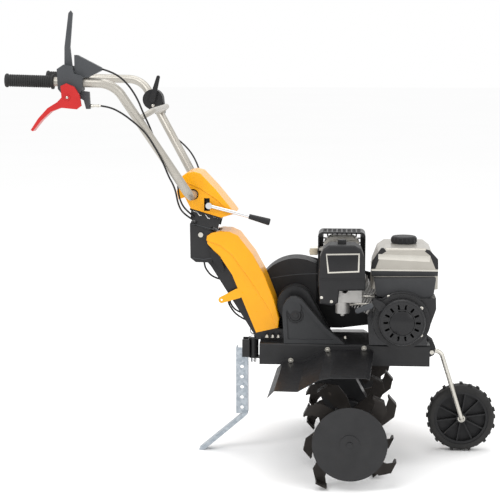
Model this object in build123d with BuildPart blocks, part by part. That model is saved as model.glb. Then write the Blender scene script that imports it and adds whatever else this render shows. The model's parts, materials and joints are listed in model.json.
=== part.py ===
"""Petrol tiller: chassis, chain-driven rotor, engine, adjustable handlebar, drag spur and front wheel.

Millimetres. +X points forward to the transport wheel, +Z up, and the rider of the handlebar looks
along +X with +Y on the left. The origin is on the ground, under the middle of the whole machine.
"""

import os
from math import atan2, cos, hypot, radians, sin, sqrt, tan

from build123d import *

# ---- overall layout ------------------------------------------------------------------------
ROTOR_X = 248.0          # rotor axis, forward of the origin
ROTOR_Z = 131.0
TINE_REACH = 142.5       # rotor axis to the tine tips
DISC_RADIUS = 99.0
DISC_Y = 396.0           # side disc, outer face
WHEEL_X = 570.0
WHEEL_RADIUS = 100.0
WHEEL_WIDTH = 44.0
HANDLE_REAR_X = -672.0
HANDLE_HEIGHT = 1074.0   # tube axis at the rear end of the grips
HANDLE_HALF_SPAN = 260.0
TUBE_RADIUS = 12.5
TUBE_WALL = 2.5

# ---- fits ----------------------------------------------------------------------------------
RUN = 0.05               # radial running clearance of a shaft
GAP = 0.4                # clearance between faces of neighbouring pieces
SHEET = 3.0              # pressed steel and moulded cover walls

# ---- chassis -------------------------------------------------------------------------------
CHASSIS_REAR, CHASSIS_FRONT = -8.0, 470.0
CHASSIS_HALF = 92.0
CHASSIS_TOP, CHASSIS_LOW = 335.0, 275.0
CHASSIS_WALL = 4.0
TONGUE_RADIUS = 15.0
KINGPIN_X = -30.0
KINGPIN_RADIUS = 8.0
WHEEL_PIVOT = (480.0, 300.6)
PIVOT_BOLT_RADIUS = 3.0

# ---- drive ---------------------------------------------------------------------------------
INPUT = (89.0, 437.0)    # input shaft axis in the chain case
CRANK = (387.0, 420.0)   # crankshaft axis
CASE_HALF = 30.0
CASE_WALL = 3.5
CASE_TOP_RADIUS = 50.0
CASE_LOW_RADIUS = 58.0
AXLE_RADIUS = 14.0
INPUT_RADIUS = 10.0
CHAIN_Y = 0.0
CHAIN_HALF = 6.0
CHAIN_THICK = 8.0
SPROCKET_LOW_RADIUS = 42.0
SPROCKET_TOP_RADIUS = 14.0
BELT_Y = 172.0           # middle of the belt
BELT_HALF = 6.5
BELT_THICK = 8.0
PULLEY_CRANK_RADIUS = 34.0
PULLEY_INPUT_RADIUS = 70.0
IDLER_RADIUS = 22.0
IDLER_SPOT = (232.0, 409.5)
IDLER_ARM = (180.0, 425.0)
IDLER_PIN = 5.0

# ---- head and handlebar --------------------------------------------------------------------
HEAD_TILT = 20.0         # swing plane, degrees from level
HEAD_POINT = (-171.0, 654.5)
HANDLE_PIVOT = (-197.0, 752.0)
HANDLE_BEND = (-385.0, 1066.0)
ELBOW_Y = 128.0
PIVOT_PIN_RADIUS = TUBE_RADIUS - TUBE_WALL - RUN
TUBE_END_Y = 38.0
GRIP_LENGTH = 128.0
GRIP_RADIUS = 16.5

# ---- levers --------------------------------------------------------------------------------
CLUTCH_PIVOT = (-501.0, 1097.0)
REVERSE_PIVOT = (-500.0, 1044.0)
THROTTLE_PIVOT = (-346.0, 1008.0)
LOCK_PIVOT = (-151.0, 722.0)

# ---- spur ----------------------------------------------------------------------------------
SPUR_REAR, SPUR_FRONT = -80.0, -46.0
SPUR_HALF = 17.0
SPUR_TOP = 306.0
SPUR_BEND_Z = 112.0


def side_plane(y):
    """Sketch plane seen from the right-hand side: sketch x is X and sketch y is Z."""
    return Plane.XZ.offset(-y)


def slab(outline, y_low, y_high, radius=0.0, mode=Mode.ADD):
    """A flat piece with a side outline, between two widths."""
    with BuildSketch(side_plane(y_high)) as face:
        with BuildLine():
            if radius:
                FilletPolyline(*outline, radius=radius, close=True)
            else:
                Polyline(*outline, close=True)
        make_face()
    extrude(face.sketch, amount=y_high - y_low, mode=mode)


def round_y(centre, radius, y_low, y_high, mode=Mode.ADD):
    """A cylinder across the machine."""
    with BuildSketch(side_plane(y_high)) as face:
        with Locations(centre):
            Circle(radius)
    extrude(face.sketch, amount=y_high - y_low, mode=mode)


def ring_y(centre, outer, inner, y_low, y_high):
    """A sleeve across the machine."""
    with BuildSketch(side_plane(y_high)) as face:
        with Locations(centre):
            Circle(outer)
            Circle(inner, mode=Mode.SUBTRACT)
    extrude(face.sketch, amount=y_high - y_low)


def round_z(x, y, radius, z_low, z_high, mode=Mode.ADD):
    """An upright cylinder."""
    with BuildSketch(Plane.XY.offset(z_low)) as face:
        with Locations((x, y)):
            Circle(radius)
    extrude(face.sketch, amount=z_high - z_low, mode=mode)


def block(x_low, x_high, y_low, y_high, z_low, z_high, mode=Mode.ADD):
    """A box given by its limits."""
    middle = ((x_low + x_high) / 2, (y_low + y_high) / 2, (z_low + z_high) / 2)
    with Locations(middle):
        Box(x_high - x_low, y_high - y_low, z_high - z_low, mode=mode)


def pipe(points, radii, outer, inner=0.0):
    """A round bar or tube along straight runs and tangent arcs."""
    with BuildLine() as route:
        if radii:
            FilletPolyline(*points, radius=radii)
        else:
            Line(*points)
    with BuildSketch(Plane(route.line @ 0, z_dir=route.line % 0)) as face:
        Circle(outer)
        if inner:
            Circle(inner, mode=Mode.SUBTRACT)
    sweep(face.sketch, path=route.line)


def hull_outline(c1, r1, c2, r2):
    """Two circles and the two straight lines that touch both, as a closed sketch outline."""
    x1, z1 = c1
    x2, z2 = c2
    span = hypot(x2 - x1, z2 - z1)
    along = atan2(z2 - z1, x2 - x1)
    lean = atan2(sqrt(span * span - (r1 - r2) ** 2), r1 - r2)
    sides = []
    for way in (1, -1):
        angle = along + way * lean
        sides.append((
            (x1 + r1 * cos(angle), z1 + r1 * sin(angle)),
            (x2 + r2 * cos(angle), z2 + r2 * sin(angle)),
        ))
    (a1, a2), (b1, b2) = sides
    far = (x2 + r2 * cos(along), z2 + r2 * sin(along))
    near = (x1 - r1 * cos(along), z1 - r1 * sin(along))
    Line(a1, a2)
    ThreePointArc(a2, far, b2)
    Line(b2, b1)
    ThreePointArc(b1, near, a1)


def hull_slab(c1, r1, c2, r2, y_low, y_high, mode=Mode.ADD):
    """A racetrack-shaped slab round two centres."""
    with BuildSketch(side_plane(y_high)) as face:
        with BuildLine():
            hull_outline(c1, r1, c2, r2)
        make_face()
    extrude(face.sketch, amount=y_high - y_low, mode=mode)


def case_shell(c1, r1, c2, r2, wall, y_low, y_high, open_side):
    """A racetrack tray; open_side is +1 or -1, the side along Y that has no wall."""
    hull_slab(c1, r1, c2, r2, y_low, y_high)
    inner_low = y_low - 1 if open_side < 0 else y_low + wall
    inner_high = y_high + 1 if open_side > 0 else y_high - wall
    hull_slab(c1, r1 - wall, c2, r2 - wall, inner_low, inner_high, mode=Mode.SUBTRACT)


PIECES = {}

# ============================================================================================
# Chassis and column
# ============================================================================================
EAR_IN, EAR_OUT = 12.0, 16.0
EAR = [(440, 331), (452, 342), (466, 346), (482, 334), (491, 312), (486, 292), (470, 284), (440, 284)]
CASE_SLOT = (81.0, 208.0)
SLOT_HALF = CASE_HALF + 4
ACCESSORY_Y, ACCESSORY_Z, ACCESSORY_RADIUS = 60.0, 305.0, 5.5
ENGINE_BOLTS_X = (320.0, 446.0)
ENGINE_BOLT_Y = 78.0
COLUMN_BOLTS_X = (8.0, 60.0)
COLUMN_BOLT_Y = 26.0
BOLT_RADIUS = 4.0
GUARD_BOLTS = [(81.0, 288.3), (184.0, 321.2), (286.0, 326.3)]
GUARD_BOLT_RADIUS = 2.5

with BuildPart() as chassis:
    block(CHASSIS_REAR, CHASSIS_FRONT, -CHASSIS_HALF, CHASSIS_HALF, CHASSIS_LOW, CHASSIS_TOP)
    fillet(chassis.edges().filter_by(Axis.X).group_by(Axis.Z)[-1], radius=6)
    block(CHASSIS_REAR + CHASSIS_WALL, CHASSIS_FRONT - CHASSIS_WALL,
          -CHASSIS_HALF + CHASSIS_WALL, CHASSIS_HALF - CHASSIS_WALL,
          CHASSIS_LOW - 1, CHASSIS_TOP - CHASSIS_WALL, mode=Mode.SUBTRACT)
    for z_low in (CHASSIS_LOW, CHASSIS_TOP - CHASSIS_WALL):
        block(KINGPIN_X, CHASSIS_REAR + CHASSIS_WALL, -TONGUE_RADIUS, TONGUE_RADIUS,
              z_low, z_low + CHASSIS_WALL)
        round_z(KINGPIN_X, 0, TONGUE_RADIUS, z_low, z_low + CHASSIS_WALL)
    round_z(KINGPIN_X, 0, KINGPIN_RADIUS + RUN, CHASSIS_LOW - 1, CHASSIS_TOP + 1, mode=Mode.SUBTRACT)
    block(*CASE_SLOT, -SLOT_HALF, SLOT_HALF, CHASSIS_TOP - 10, CHASSIS_TOP + 1, mode=Mode.SUBTRACT)
    block(436, CHASSIS_FRONT + 1, -EAR_IN, EAR_IN, CHASSIS_LOW - 1, CHASSIS_TOP + 1,
          mode=Mode.SUBTRACT)
    for side in (-1, 1):
        low, high = sorted((side * EAR_IN, side * EAR_OUT))
        slab(EAR, low, high)
    round_y(WHEEL_PIVOT, PIVOT_BOLT_RADIUS + RUN, -EAR_OUT - 1, EAR_OUT + 1, mode=Mode.SUBTRACT)
    for side in (-1, 1):
        for x in ENGINE_BOLTS_X:
            round_z(x, side * ENGINE_BOLT_Y, BOLT_RADIUS + RUN, CHASSIS_TOP - 9, CHASSIS_TOP + 1,
                    mode=Mode.SUBTRACT)
        for x in COLUMN_BOLTS_X:
            round_z(x, side * COLUMN_BOLT_Y, BOLT_RADIUS + RUN, CHASSIS_TOP - 9, CHASSIS_TOP + 1,
                    mode=Mode.SUBTRACT)
        with BuildSketch(Plane.YZ.offset(CHASSIS_REAR - 1)) as accessory:
            with Locations((side * ACCESSORY_Y, ACCESSORY_Z)):
                Circle(ACCESSORY_RADIUS)
        extrude(accessory.sketch, amount=CHASSIS_WALL + 2, mode=Mode.SUBTRACT)
    for spot in GUARD_BOLTS:
        round_y(spot, GUARD_BOLT_RADIUS + RUN, -CHASSIS_HALF - 1, CHASSIS_HALF + 1, mode=Mode.SUBTRACT)
PIECES["chassis"] = chassis

COLUMN_HALF = 40.0
HEAD_BOLT = (-177.0, 636.5)
COLUMN = [(-17, 335.3), (78, 335.3), (58, 366), (-4, 372), (-118, 575), (-144, 638), (-198, 657.6),
          (-198, 600), (-150, 547)]
COLUMN_INSIDE = [(-60, 339.3), (71, 339.3), (56, 362), (-7, 368), (-122, 573), (-146.5, 634),
                 (-194.5, 651.5), (-230, 651.5), (-230, 500)]
HEAD_NORMAL = (sin(radians(HEAD_TILT)), 0, cos(radians(HEAD_TILT)))
HEAD_PLANE = Plane((HEAD_POINT[0], 0, HEAD_POINT[1]), x_dir=(0, 1, 0), z_dir=HEAD_NORMAL)
SWING_BOLT_RADIUS = 6.0
with BuildPart() as column:
    slab(COLUMN, -COLUMN_HALF, COLUMN_HALF)
    slab(COLUMN_INSIDE, -COLUMN_HALF + SHEET, COLUMN_HALF - SHEET, mode=Mode.SUBTRACT)
    round_y(HEAD_BOLT, BOLT_RADIUS + RUN, -COLUMN_HALF - 1, COLUMN_HALF + 1, mode=Mode.SUBTRACT)
    with BuildSketch(HEAD_PLANE.offset(-14)) as top_hole:
        Circle(SWING_BOLT_RADIUS + RUN)
    extrude(top_hole.sketch, amount=10, mode=Mode.SUBTRACT)
    for side in (-1, 1):
        for x in COLUMN_BOLTS_X:
            round_z(x, side * COLUMN_BOLT_Y, BOLT_RADIUS + RUN, CHASSIS_TOP, CHASSIS_TOP + 5,
                    mode=Mode.SUBTRACT)
PIECES["column"] = column

HEAD_HALF = 48.0
HEAD = [(-208, 668), (-134, 641), (-140, 600), (-146, 557), (-192, 558), (-207, 570)]
HEAD_INSIDE = [(-205, 662.5), (-110, 628), (-110, 550), (-164, 550), (-164, 561), (-191, 561.2), (-204, 571.5)]
with BuildPart() as head_bracket:
    slab(HEAD, -HEAD_HALF, HEAD_HALF)
    slab(HEAD_INSIDE, -HEAD_HALF + SHEET, HEAD_HALF - SHEET, mode=Mode.SUBTRACT)
    for side in (-1, 1):
        low, high = sorted((side * (COLUMN_HALF + 0.1), side * (HEAD_HALF - SHEET)))
        round_y(HEAD_BOLT, 9, low, high)
    round_y(HEAD_BOLT, BOLT_RADIUS + RUN, -HEAD_HALF - 1, HEAD_HALF + 1, mode=Mode.SUBTRACT)
    with BuildSketch(HEAD_PLANE.offset(-8)):
        Circle(SWING_BOLT_RADIUS + RUN)
    extrude(amount=12, mode=Mode.SUBTRACT)
PIECES["head_bracket"] = head_bracket


def head_z(x, lift):
    """Height of the tilted swing plane at x, lifted along its normal."""
    return HEAD_POINT[1] + lift / cos(radians(HEAD_TILT)) - (x - HEAD_POINT[0]) * tan(radians(HEAD_TILT))


# Upper bracket: swings on the head, carries the console cover and the handlebar's pivot pin.
PLATE_THICK = 4.0
TOOTH_PITCH = 9.0
TOOTH_COUNT = 9
FLANGE_HALF = HEAD_HALF + 15
FLANGE_REAR, FLANGE_FRONT = (-206.0, 712.6), (-118.0, 686.4)
PIN_REACH = 84.0
FOOT_RADIUS, FOOT_HEIGHT = 50.0, 14.0    # the round foot that turns on the head
BRACKET_EAR = 30.0
LOCK_HUB_RADIUS = 9.0
LOCK_STUB_RADIUS = 5.0
BRACKET_EAR_OUTLINE = [(-192, 664), (-150, 648.5), (-138, 712), (-146, 736), (-180, 768), (-205, 769),
                       (-210, 752)]
with BuildPart() as console_bracket:
    slab([(-207, head_z(-207, GAP)), (-134, head_z(-134, GAP)), (-130, 648), (-120, 687), (-204, 712)],
         -HEAD_HALF, HEAD_HALF)
    slab([(-230, head_z(-230, GAP + PLATE_THICK)), (-100, head_z(-100, GAP + PLATE_THICK)),
          (-100, 760), (-230, 760)], -HEAD_HALF + SHEET, HEAD_HALF - SHEET, mode=Mode.SUBTRACT)
    for side in (-1, 1):
        low, high = sorted((side * (HEAD_HALF - SHEET), side * FLANGE_HALF))
        slab([FLANGE_REAR, FLANGE_FRONT, (FLANGE_FRONT[0], FLANGE_FRONT[1] - PLATE_THICK),
              (FLANGE_REAR[0], FLANGE_REAR[1] - PLATE_THICK)], low, high)
        low, high = sorted((side * BRACKET_EAR, side * (BRACKET_EAR + PLATE_THICK)))
        slab(BRACKET_EAR_OUTLINE, low, high)
    slab([(-230, head_z(-230, GAP)), (-100, head_z(-100, GAP)), (-100, 560), (-230, 600)],
         -HEAD_HALF, HEAD_HALF, mode=Mode.SUBTRACT)
    round_y(HANDLE_PIVOT, PIVOT_PIN_RADIUS, -PIN_REACH, PIN_REACH)
    round_y(LOCK_PIVOT, LOCK_STUB_RADIUS + RUN, -BRACKET_EAR - 9, -BRACKET_EAR + 9, mode=Mode.SUBTRACT)
    with BuildSketch(HEAD_PLANE.offset(-1)) as foot_trim:
        Circle(2 * FOOT_RADIUS)
        Circle(FOOT_RADIUS, mode=Mode.SUBTRACT)
    extrude(foot_trim.sketch, amount=FOOT_HEIGHT + 1, mode=Mode.SUBTRACT)
    slope = (FLANGE_FRONT[1] - FLANGE_REAR[1]) / (FLANGE_FRONT[0] - FLANGE_REAR[0])
    for i in range(TOOTH_COUNT):
        x = FLANGE_REAR[0] + 6 + i * TOOTH_PITCH
        z = FLANGE_REAR[1] + slope * (x - FLANGE_REAR[0]) - PLATE_THICK / 2
        for y in (-FLANGE_HALF, FLANGE_HALF):
            with Locations((x, y, z)):
                Cylinder(2.8, 4 * PLATE_THICK, mode=Mode.SUBTRACT)
    with BuildSketch(HEAD_PLANE.offset(-4)) as bore:
        Circle(SWING_BOLT_RADIUS + RUN)
    extrude(bore.sketch, amount=14, mode=Mode.SUBTRACT)
PIECES["console_bracket"] = console_bracket


# ============================================================================================
# Yellow covers
# ============================================================================================
LOWER_TOP = [(-159, 634), (-146, 643), (-122, 648), (-95, 647), (-71, 636), (-28, 581), (3, 525),
             (31, 453), (46, 398), (43, 373)]
LOWER_BAND = LOWER_TOP + [(35, 381), (20, 420), (-3, 458), (-37, 509), (-88, 580), (-122, 607),
                          (-161, 621)]
LOWER_SIDE = LOWER_TOP + [(-20, 358), (-88, 524), (-116, 566), (-158, 612)]
LOWER_HALF, LOWER_BAND_HALF = 54.0, 58.0
LOWER_LUG = (-118.0, 451.0)


def inset_outline(outline, distance):
    """The outline moved inwards by a wall's thickness."""
    with BuildSketch(mode=Mode.PRIVATE) as sketch:
        with BuildLine():
            Polyline(*outline, close=True)
        make_face()
        offset(amount=-distance, kind=Kind.INTERSECTION)
    return sketch.sketch


def sketch_slab(face, y_low, y_high, mode=Mode.ADD):
    """Extrudes a flat sketch, drawn in sketch x and y, across the machine."""
    placed = side_plane(y_high) * face
    extrude(placed, amount=y_high - y_low, mode=mode)


def banded_cover(side, side_half, band, band_half, opening, edge):
    """A moulded cover: flat sides and a proud band along the outer edge, hollow and open behind."""
    slab(side, -side_half, side_half)
    slab(band, -band_half, band_half)
    band_edges = [e for e in current_edges() if abs(abs(e.center().Y) - band_half) < 0.01]
    fillet(band_edges, radius=edge)
    sketch_slab(inset_outline(side, SHEET), -side_half + SHEET, side_half - SHEET, mode=Mode.SUBTRACT)
    sketch_slab(inset_outline(band, SHEET), -band_half + SHEET, band_half - SHEET, mode=Mode.SUBTRACT)
    slab(opening, -side_half + SHEET, side_half - SHEET, mode=Mode.SUBTRACT)


def current_edges():
    """Edges of the part being built."""
    return BuildPart._get_context().part.edges()


LOWER_OPENING = [(-24, 350), (52, 368), (38, 379), (-20, 366), (-84, 522), (-112, 562), (-154, 608),
                 (-156, 626), (-175, 634), (-175, 600)]
BOSS_SPOTS = [(-62.0, 485.0), (-8.0, 400.0)]
COLUMN_CLEAR = [(80, 330), (59.5, 367), (-3, 373.5), (-116.5, 575.5), (-143, 638), (-175, 660), (-230, 600),
                (-60, 330)]
HEAD_CLEAR = [(-230, 682), (-133, 642.3), (-139, 600), (-145, 556), (-230, 540)]
with BuildPart() as lower_cover:
    banded_cover(LOWER_SIDE, LOWER_HALF, LOWER_BAND, LOWER_BAND_HALF, LOWER_OPENING, 3)
    for side in (-1, 1):
        low, high = sorted((side * (COLUMN_HALF + GAP), side * (LOWER_HALF - SHEET)))
        for spot in BOSS_SPOTS:
            round_y(spot, 6, low, high)
    slab(COLUMN_CLEAR, -COLUMN_HALF - 0.3, COLUMN_HALF + 0.3, mode=Mode.SUBTRACT)
    slab(HEAD_CLEAR, -HEAD_HALF - 0.6, HEAD_HALF + 0.6, mode=Mode.SUBTRACT)
    with BuildSketch(HEAD_PLANE.offset(-0.6)) as sweep_room:
        Circle(FOOT_RADIUS + 1.5)
    extrude(sweep_room.sketch, amount=FOOT_HEIGHT + 1.6, mode=Mode.SUBTRACT)
    hull_slab(LOWER_LUG, 9, (-72, 470), 14, -LOWER_HALF, -LOWER_HALF + SHEET)
    round_y(LOWER_LUG, 3, -LOWER_HALF - 1, -LOWER_HALF + SHEET + 1, mode=Mode.SUBTRACT)
PIECES["lower_cover"] = lower_cover

CONSOLE_TOP = [(-243, 760), (-235, 792), (-226, 805), (-212, 814), (-195, 817), (-176, 812), (-134, 768),
               (-92, 717), (-78, 699)]
CONSOLE_BAND = CONSOLE_TOP[1:] + [(-92, 700), (-134, 740), (-176, 768), (-216, 785)]
CONSOLE_SIDE = CONSOLE_TOP + [(-118, 687.2), (-204, 712.8), (-220, 744), (-238, 738)]
CONSOLE_OPENING = [(-100, 690), (-118, 680), (-206, 706), (-216, 742), (-202, 752), (-140, 735), (-100, 704)]
CONSOLE_HALF, CONSOLE_BAND_HALF = 62.0, 66.0
ELBOW_HOLE = TUBE_RADIUS + 3
with BuildPart() as console_cover:
    banded_cover(CONSOLE_SIDE, CONSOLE_HALF, CONSOLE_BAND, CONSOLE_BAND_HALF, CONSOLE_OPENING, 3)
    round_y(HANDLE_PIVOT, ELBOW_HOLE, -CONSOLE_BAND_HALF - 1, CONSOLE_BAND_HALF + 1, mode=Mode.SUBTRACT)
    round_y(LOCK_PIVOT, LOCK_STUB_RADIUS + 1, -CONSOLE_BAND_HALF - 1, 0, mode=Mode.SUBTRACT)
    block(-166, -150, -CONSOLE_BAND_HALF - 1, 0, 706, 742, mode=Mode.SUBTRACT)
PIECES["console_cover"] = console_cover

# ============================================================================================
# Transmission: covers, chain case, shafts, chain and belt
# ============================================================================================
COVER_PLATE_Y = 147.0
REAR_COVER_Y = 64.0
REAR_COVER_RADIUS = 118.0
REAR_COVER_FRONT = 148.0
BELT_COVER_LOW, BELT_COVER_HIGH = COVER_PLATE_Y + SHEET + GAP, 230.0
BELT_COVER_INPUT_RADIUS, BELT_COVER_CRANK_RADIUS = 96.0, 49.0
PLATE_CRANK_RADIUS = 62.0
FLOOR_OVER_CHASSIS = CHASSIS_TOP + GAP
with BuildPart() as rear_cover:
    hull_slab(INPUT, REAR_COVER_RADIUS, CRANK, PLATE_CRANK_RADIUS, COVER_PLATE_Y,
              COVER_PLATE_Y + SHEET)
    round_y(INPUT, REAR_COVER_RADIUS, REAR_COVER_Y, COVER_PLATE_Y)
    round_y(INPUT, REAR_COVER_RADIUS - SHEET, REAR_COVER_Y + SHEET, COVER_PLATE_Y, mode=Mode.SUBTRACT)
    block(REAR_COVER_FRONT, 260, REAR_COVER_Y - 1, COVER_PLATE_Y, 300, 580, mode=Mode.SUBTRACT)
    block(-60, 500, REAR_COVER_Y - 1, COVER_PLATE_Y + SHEET + 1, 250, FLOOR_OVER_CHASSIS,
          mode=Mode.SUBTRACT)
    round_y(INPUT, INPUT_RADIUS + 4, REAR_COVER_Y - 1, COVER_PLATE_Y + SHEET + 1, mode=Mode.SUBTRACT)
    round_y(CRANK, 30, COVER_PLATE_Y - 1, COVER_PLATE_Y + SHEET + 1, mode=Mode.SUBTRACT)
    round_y(IDLER_ARM, IDLER_PIN, COVER_PLATE_Y, COVER_PLATE_Y + SHEET + 10)
    round_y(IDLER_ARM, IDLER_PIN + 4, COVER_PLATE_Y + SHEET + 6, COVER_PLATE_Y + SHEET + 10)
PIECES["rear_cover"] = rear_cover

with BuildPart() as belt_cover:
    case_shell(INPUT, BELT_COVER_INPUT_RADIUS, CRANK, BELT_COVER_CRANK_RADIUS, SHEET,
               BELT_COVER_LOW, BELT_COVER_HIGH, -1)
    far_edges = [e for e in belt_cover.edges() if abs(e.center().Y - BELT_COVER_HIGH) < 0.01]
    fillet(far_edges, radius=5)
PIECES["belt_cover"] = belt_cover

INPUT_BEARING, AXLE_BEARING = 20.0, 26.0
BOSS_OUT, AXLE_BOSS_OUT = 38.0, 43.0
ROTOR = (ROTOR_X, ROTOR_Z)


def chain_case_half(side):
    """One half of the chain case: a tray open at the joint plane, with two bearing bosses."""
    low, high = sorted((side * GAP / 4, side * CASE_HALF))
    case_shell(INPUT, CASE_TOP_RADIUS, ROTOR, CASE_LOW_RADIUS, CASE_WALL, low, high, -side)
    for centre, bearing, out in ((INPUT, INPUT_BEARING, BOSS_OUT), (ROTOR, AXLE_BEARING, AXLE_BOSS_OUT)):
        low, high = sorted((side * (CASE_HALF - CASE_WALL), side * out))
        round_y(centre, bearing + 6, low, high)
        round_y(centre, bearing, low - 1, high + 1, mode=Mode.SUBTRACT)


with BuildPart() as chain_case_right:
    chain_case_half(-1)
PIECES["chain_case_right"] = chain_case_right
with BuildPart() as chain_case_left:
    chain_case_half(1)
PIECES["chain_case_left"] = chain_case_left

with BuildPart() as bearings:
    for side in (-1, 1):
        low, high = sorted((side * (BOSS_OUT - 11), side * (BOSS_OUT - 1)))
        ring_y(INPUT, INPUT_BEARING - 0.02, INPUT_RADIUS + RUN, low, high)
        low, high = sorted((side * (AXLE_BOSS_OUT - 15), side * (AXLE_BOSS_OUT - 1)))
        ring_y(ROTOR, AXLE_BEARING - 0.02, AXLE_RADIUS + RUN, low, high)
PIECES["bearings"] = bearings

# Near bearing bracket: a ribbed casting on the chassis that holds the input shaft's outer end.
BRACKET_LOW, BRACKET_HIGH = -88.0, -63.0
BRACKET_OUTLINE = [(61, 335.4), (56, 420), (58, 440), (66, 456), (79, 466), (94, 467), (109, 460),
                   (122, 446), (177, 382), (232, 335.4)]
BRACKET_RECESS = [(72, 347), (67, 422), (72, 445), (89, 457), (106, 449), (168, 375), (200, 347)]
with BuildPart() as bearing_bracket:
    slab(BRACKET_OUTLINE, BRACKET_LOW, BRACKET_HIGH)
    slab(BRACKET_RECESS, BRACKET_LOW - 1, BRACKET_LOW + 4, mode=Mode.SUBTRACT)
    slab(BRACKET_RECESS, BRACKET_LOW + 8, BRACKET_HIGH + 1, mode=Mode.SUBTRACT)
    round_y(INPUT, 20, BRACKET_LOW, BRACKET_HIGH)
    round_y(INPUT, INPUT_RADIUS + RUN, BRACKET_LOW + 4, BRACKET_HIGH + 1, mode=Mode.SUBTRACT)
PIECES["bearing_bracket"] = bearing_bracket

with BuildPart() as input_shaft:
    round_y(INPUT, INPUT_RADIUS, BRACKET_LOW + 4 + GAP, BELT_Y + 14)
    round_y(INPUT, SPROCKET_TOP_RADIUS, CHAIN_Y - CHAIN_HALF, CHAIN_Y + CHAIN_HALF)
PIECES["input_shaft"] = input_shaft

FLANGE_STEP = 8.0
with BuildPart() as driven_pulley:
    round_y(INPUT, PULLEY_INPUT_RADIUS, BELT_Y - BELT_HALF - 4, BELT_Y + BELT_HALF + 4)
    for low in (BELT_Y - BELT_HALF - 4, BELT_Y + BELT_HALF + 0.5):
        round_y(INPUT, PULLEY_INPUT_RADIUS + FLANGE_STEP, low, low + 3.5)
    for low, high in ((BELT_Y - 12, BELT_Y - 3), (BELT_Y + 3, BELT_Y + 12)):
        with BuildSketch(side_plane(high)) as web:
            with Locations(INPUT):
                Circle(PULLEY_INPUT_RADIUS - 8)
                Circle(22, mode=Mode.SUBTRACT)
        extrude(web.sketch, amount=high - low, mode=Mode.SUBTRACT)
    round_y(INPUT, INPUT_RADIUS + RUN, BELT_Y - 20, BELT_Y + 20, mode=Mode.SUBTRACT)
PIECES["driven_pulley"] = driven_pulley

SLACK = 0.3              # between the belt or chain and what it runs on
with BuildPart() as drive_belt:
    hull_slab(INPUT, PULLEY_INPUT_RADIUS + SLACK + BELT_THICK, CRANK,
              PULLEY_CRANK_RADIUS + SLACK + BELT_THICK, BELT_Y - BELT_HALF, BELT_Y + BELT_HALF)
    hull_slab(INPUT, PULLEY_INPUT_RADIUS + SLACK, CRANK, PULLEY_CRANK_RADIUS + SLACK,
              BELT_Y - BELT_HALF - 1, BELT_Y + BELT_HALF + 1, mode=Mode.SUBTRACT)
PIECES["drive_belt"] = drive_belt

with BuildPart() as drive_chain:
    hull_slab(INPUT, SPROCKET_TOP_RADIUS + SLACK + CHAIN_THICK, ROTOR,
              SPROCKET_LOW_RADIUS + SLACK + CHAIN_THICK, CHAIN_Y - CHAIN_HALF, CHAIN_Y + CHAIN_HALF)
    hull_slab(INPUT, SPROCKET_TOP_RADIUS + SLACK, ROTOR, SPROCKET_LOW_RADIUS + SLACK,
              CHAIN_Y - CHAIN_HALF - 1, CHAIN_Y + CHAIN_HALF + 1, mode=Mode.SUBTRACT)
PIECES["drive_chain"] = drive_chain

ARM_LOW = COVER_PLATE_Y + SHEET + GAP
with BuildPart() as idler_arm:
    hull_slab(IDLER_ARM, 11, IDLER_SPOT, 9, ARM_LOW, ARM_LOW + 5)
    round_y(IDLER_SPOT, IDLER_PIN, ARM_LOW, BELT_Y + BELT_HALF)
    round_y(IDLER_ARM, IDLER_PIN + RUN, ARM_LOW - 1, ARM_LOW + 6, mode=Mode.SUBTRACT)
PIECES["idler_arm"] = idler_arm
with BuildPart() as idler_pulley:
    ring_y(IDLER_SPOT, IDLER_RADIUS, IDLER_PIN + RUN, BELT_Y - BELT_HALF, BELT_Y + BELT_HALF - GAP)
PIECES["idler_pulley"] = idler_pulley


# ============================================================================================
# Engine
# ============================================================================================
ENGINE_BASE = CHASSIS_TOP + 0.3
CRANKCASE_HALF = 94.0
CYLINDER_TILT = 25.0
CYLINDER_FACE = 80.0     # crank axis to the cylinder's seat
SHAFT_RADIUS = 12.5
PTO_END = BELT_Y + 15
FAN_Y = -150.0
BLOWER_LOW, BLOWER_HIGH = -168.0, -CRANKCASE_HALF - GAP
BLOWER_RADIUS = 80.0
TANK_LOW_Z = 500.0 + GAP
PORT_REACH = 172.0       # crank axis to the ports in the head
lean = radians(CYLINDER_TILT)
axis_out = (-cos(lean), sin(lean))
axis_up = (sin(lean), cos(lean))


def on_cylinder(reach, rise):
    """Side-view point at a reach along the cylinder's axis and a rise square to it."""
    return (CRANK[0] + axis_out[0] * reach + axis_up[0] * rise,
            CRANK[1] + axis_out[1] * reach + axis_up[1] * rise)


def cylinder_slab(reach, thick, rise, half_width):
    """A block square to the cylinder's axis."""
    outline = [on_cylinder(reach, -rise), on_cylinder(reach + thick, -rise),
               on_cylinder(reach + thick, rise), on_cylinder(reach, rise)]
    slab(outline, -half_width, half_width)


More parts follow.
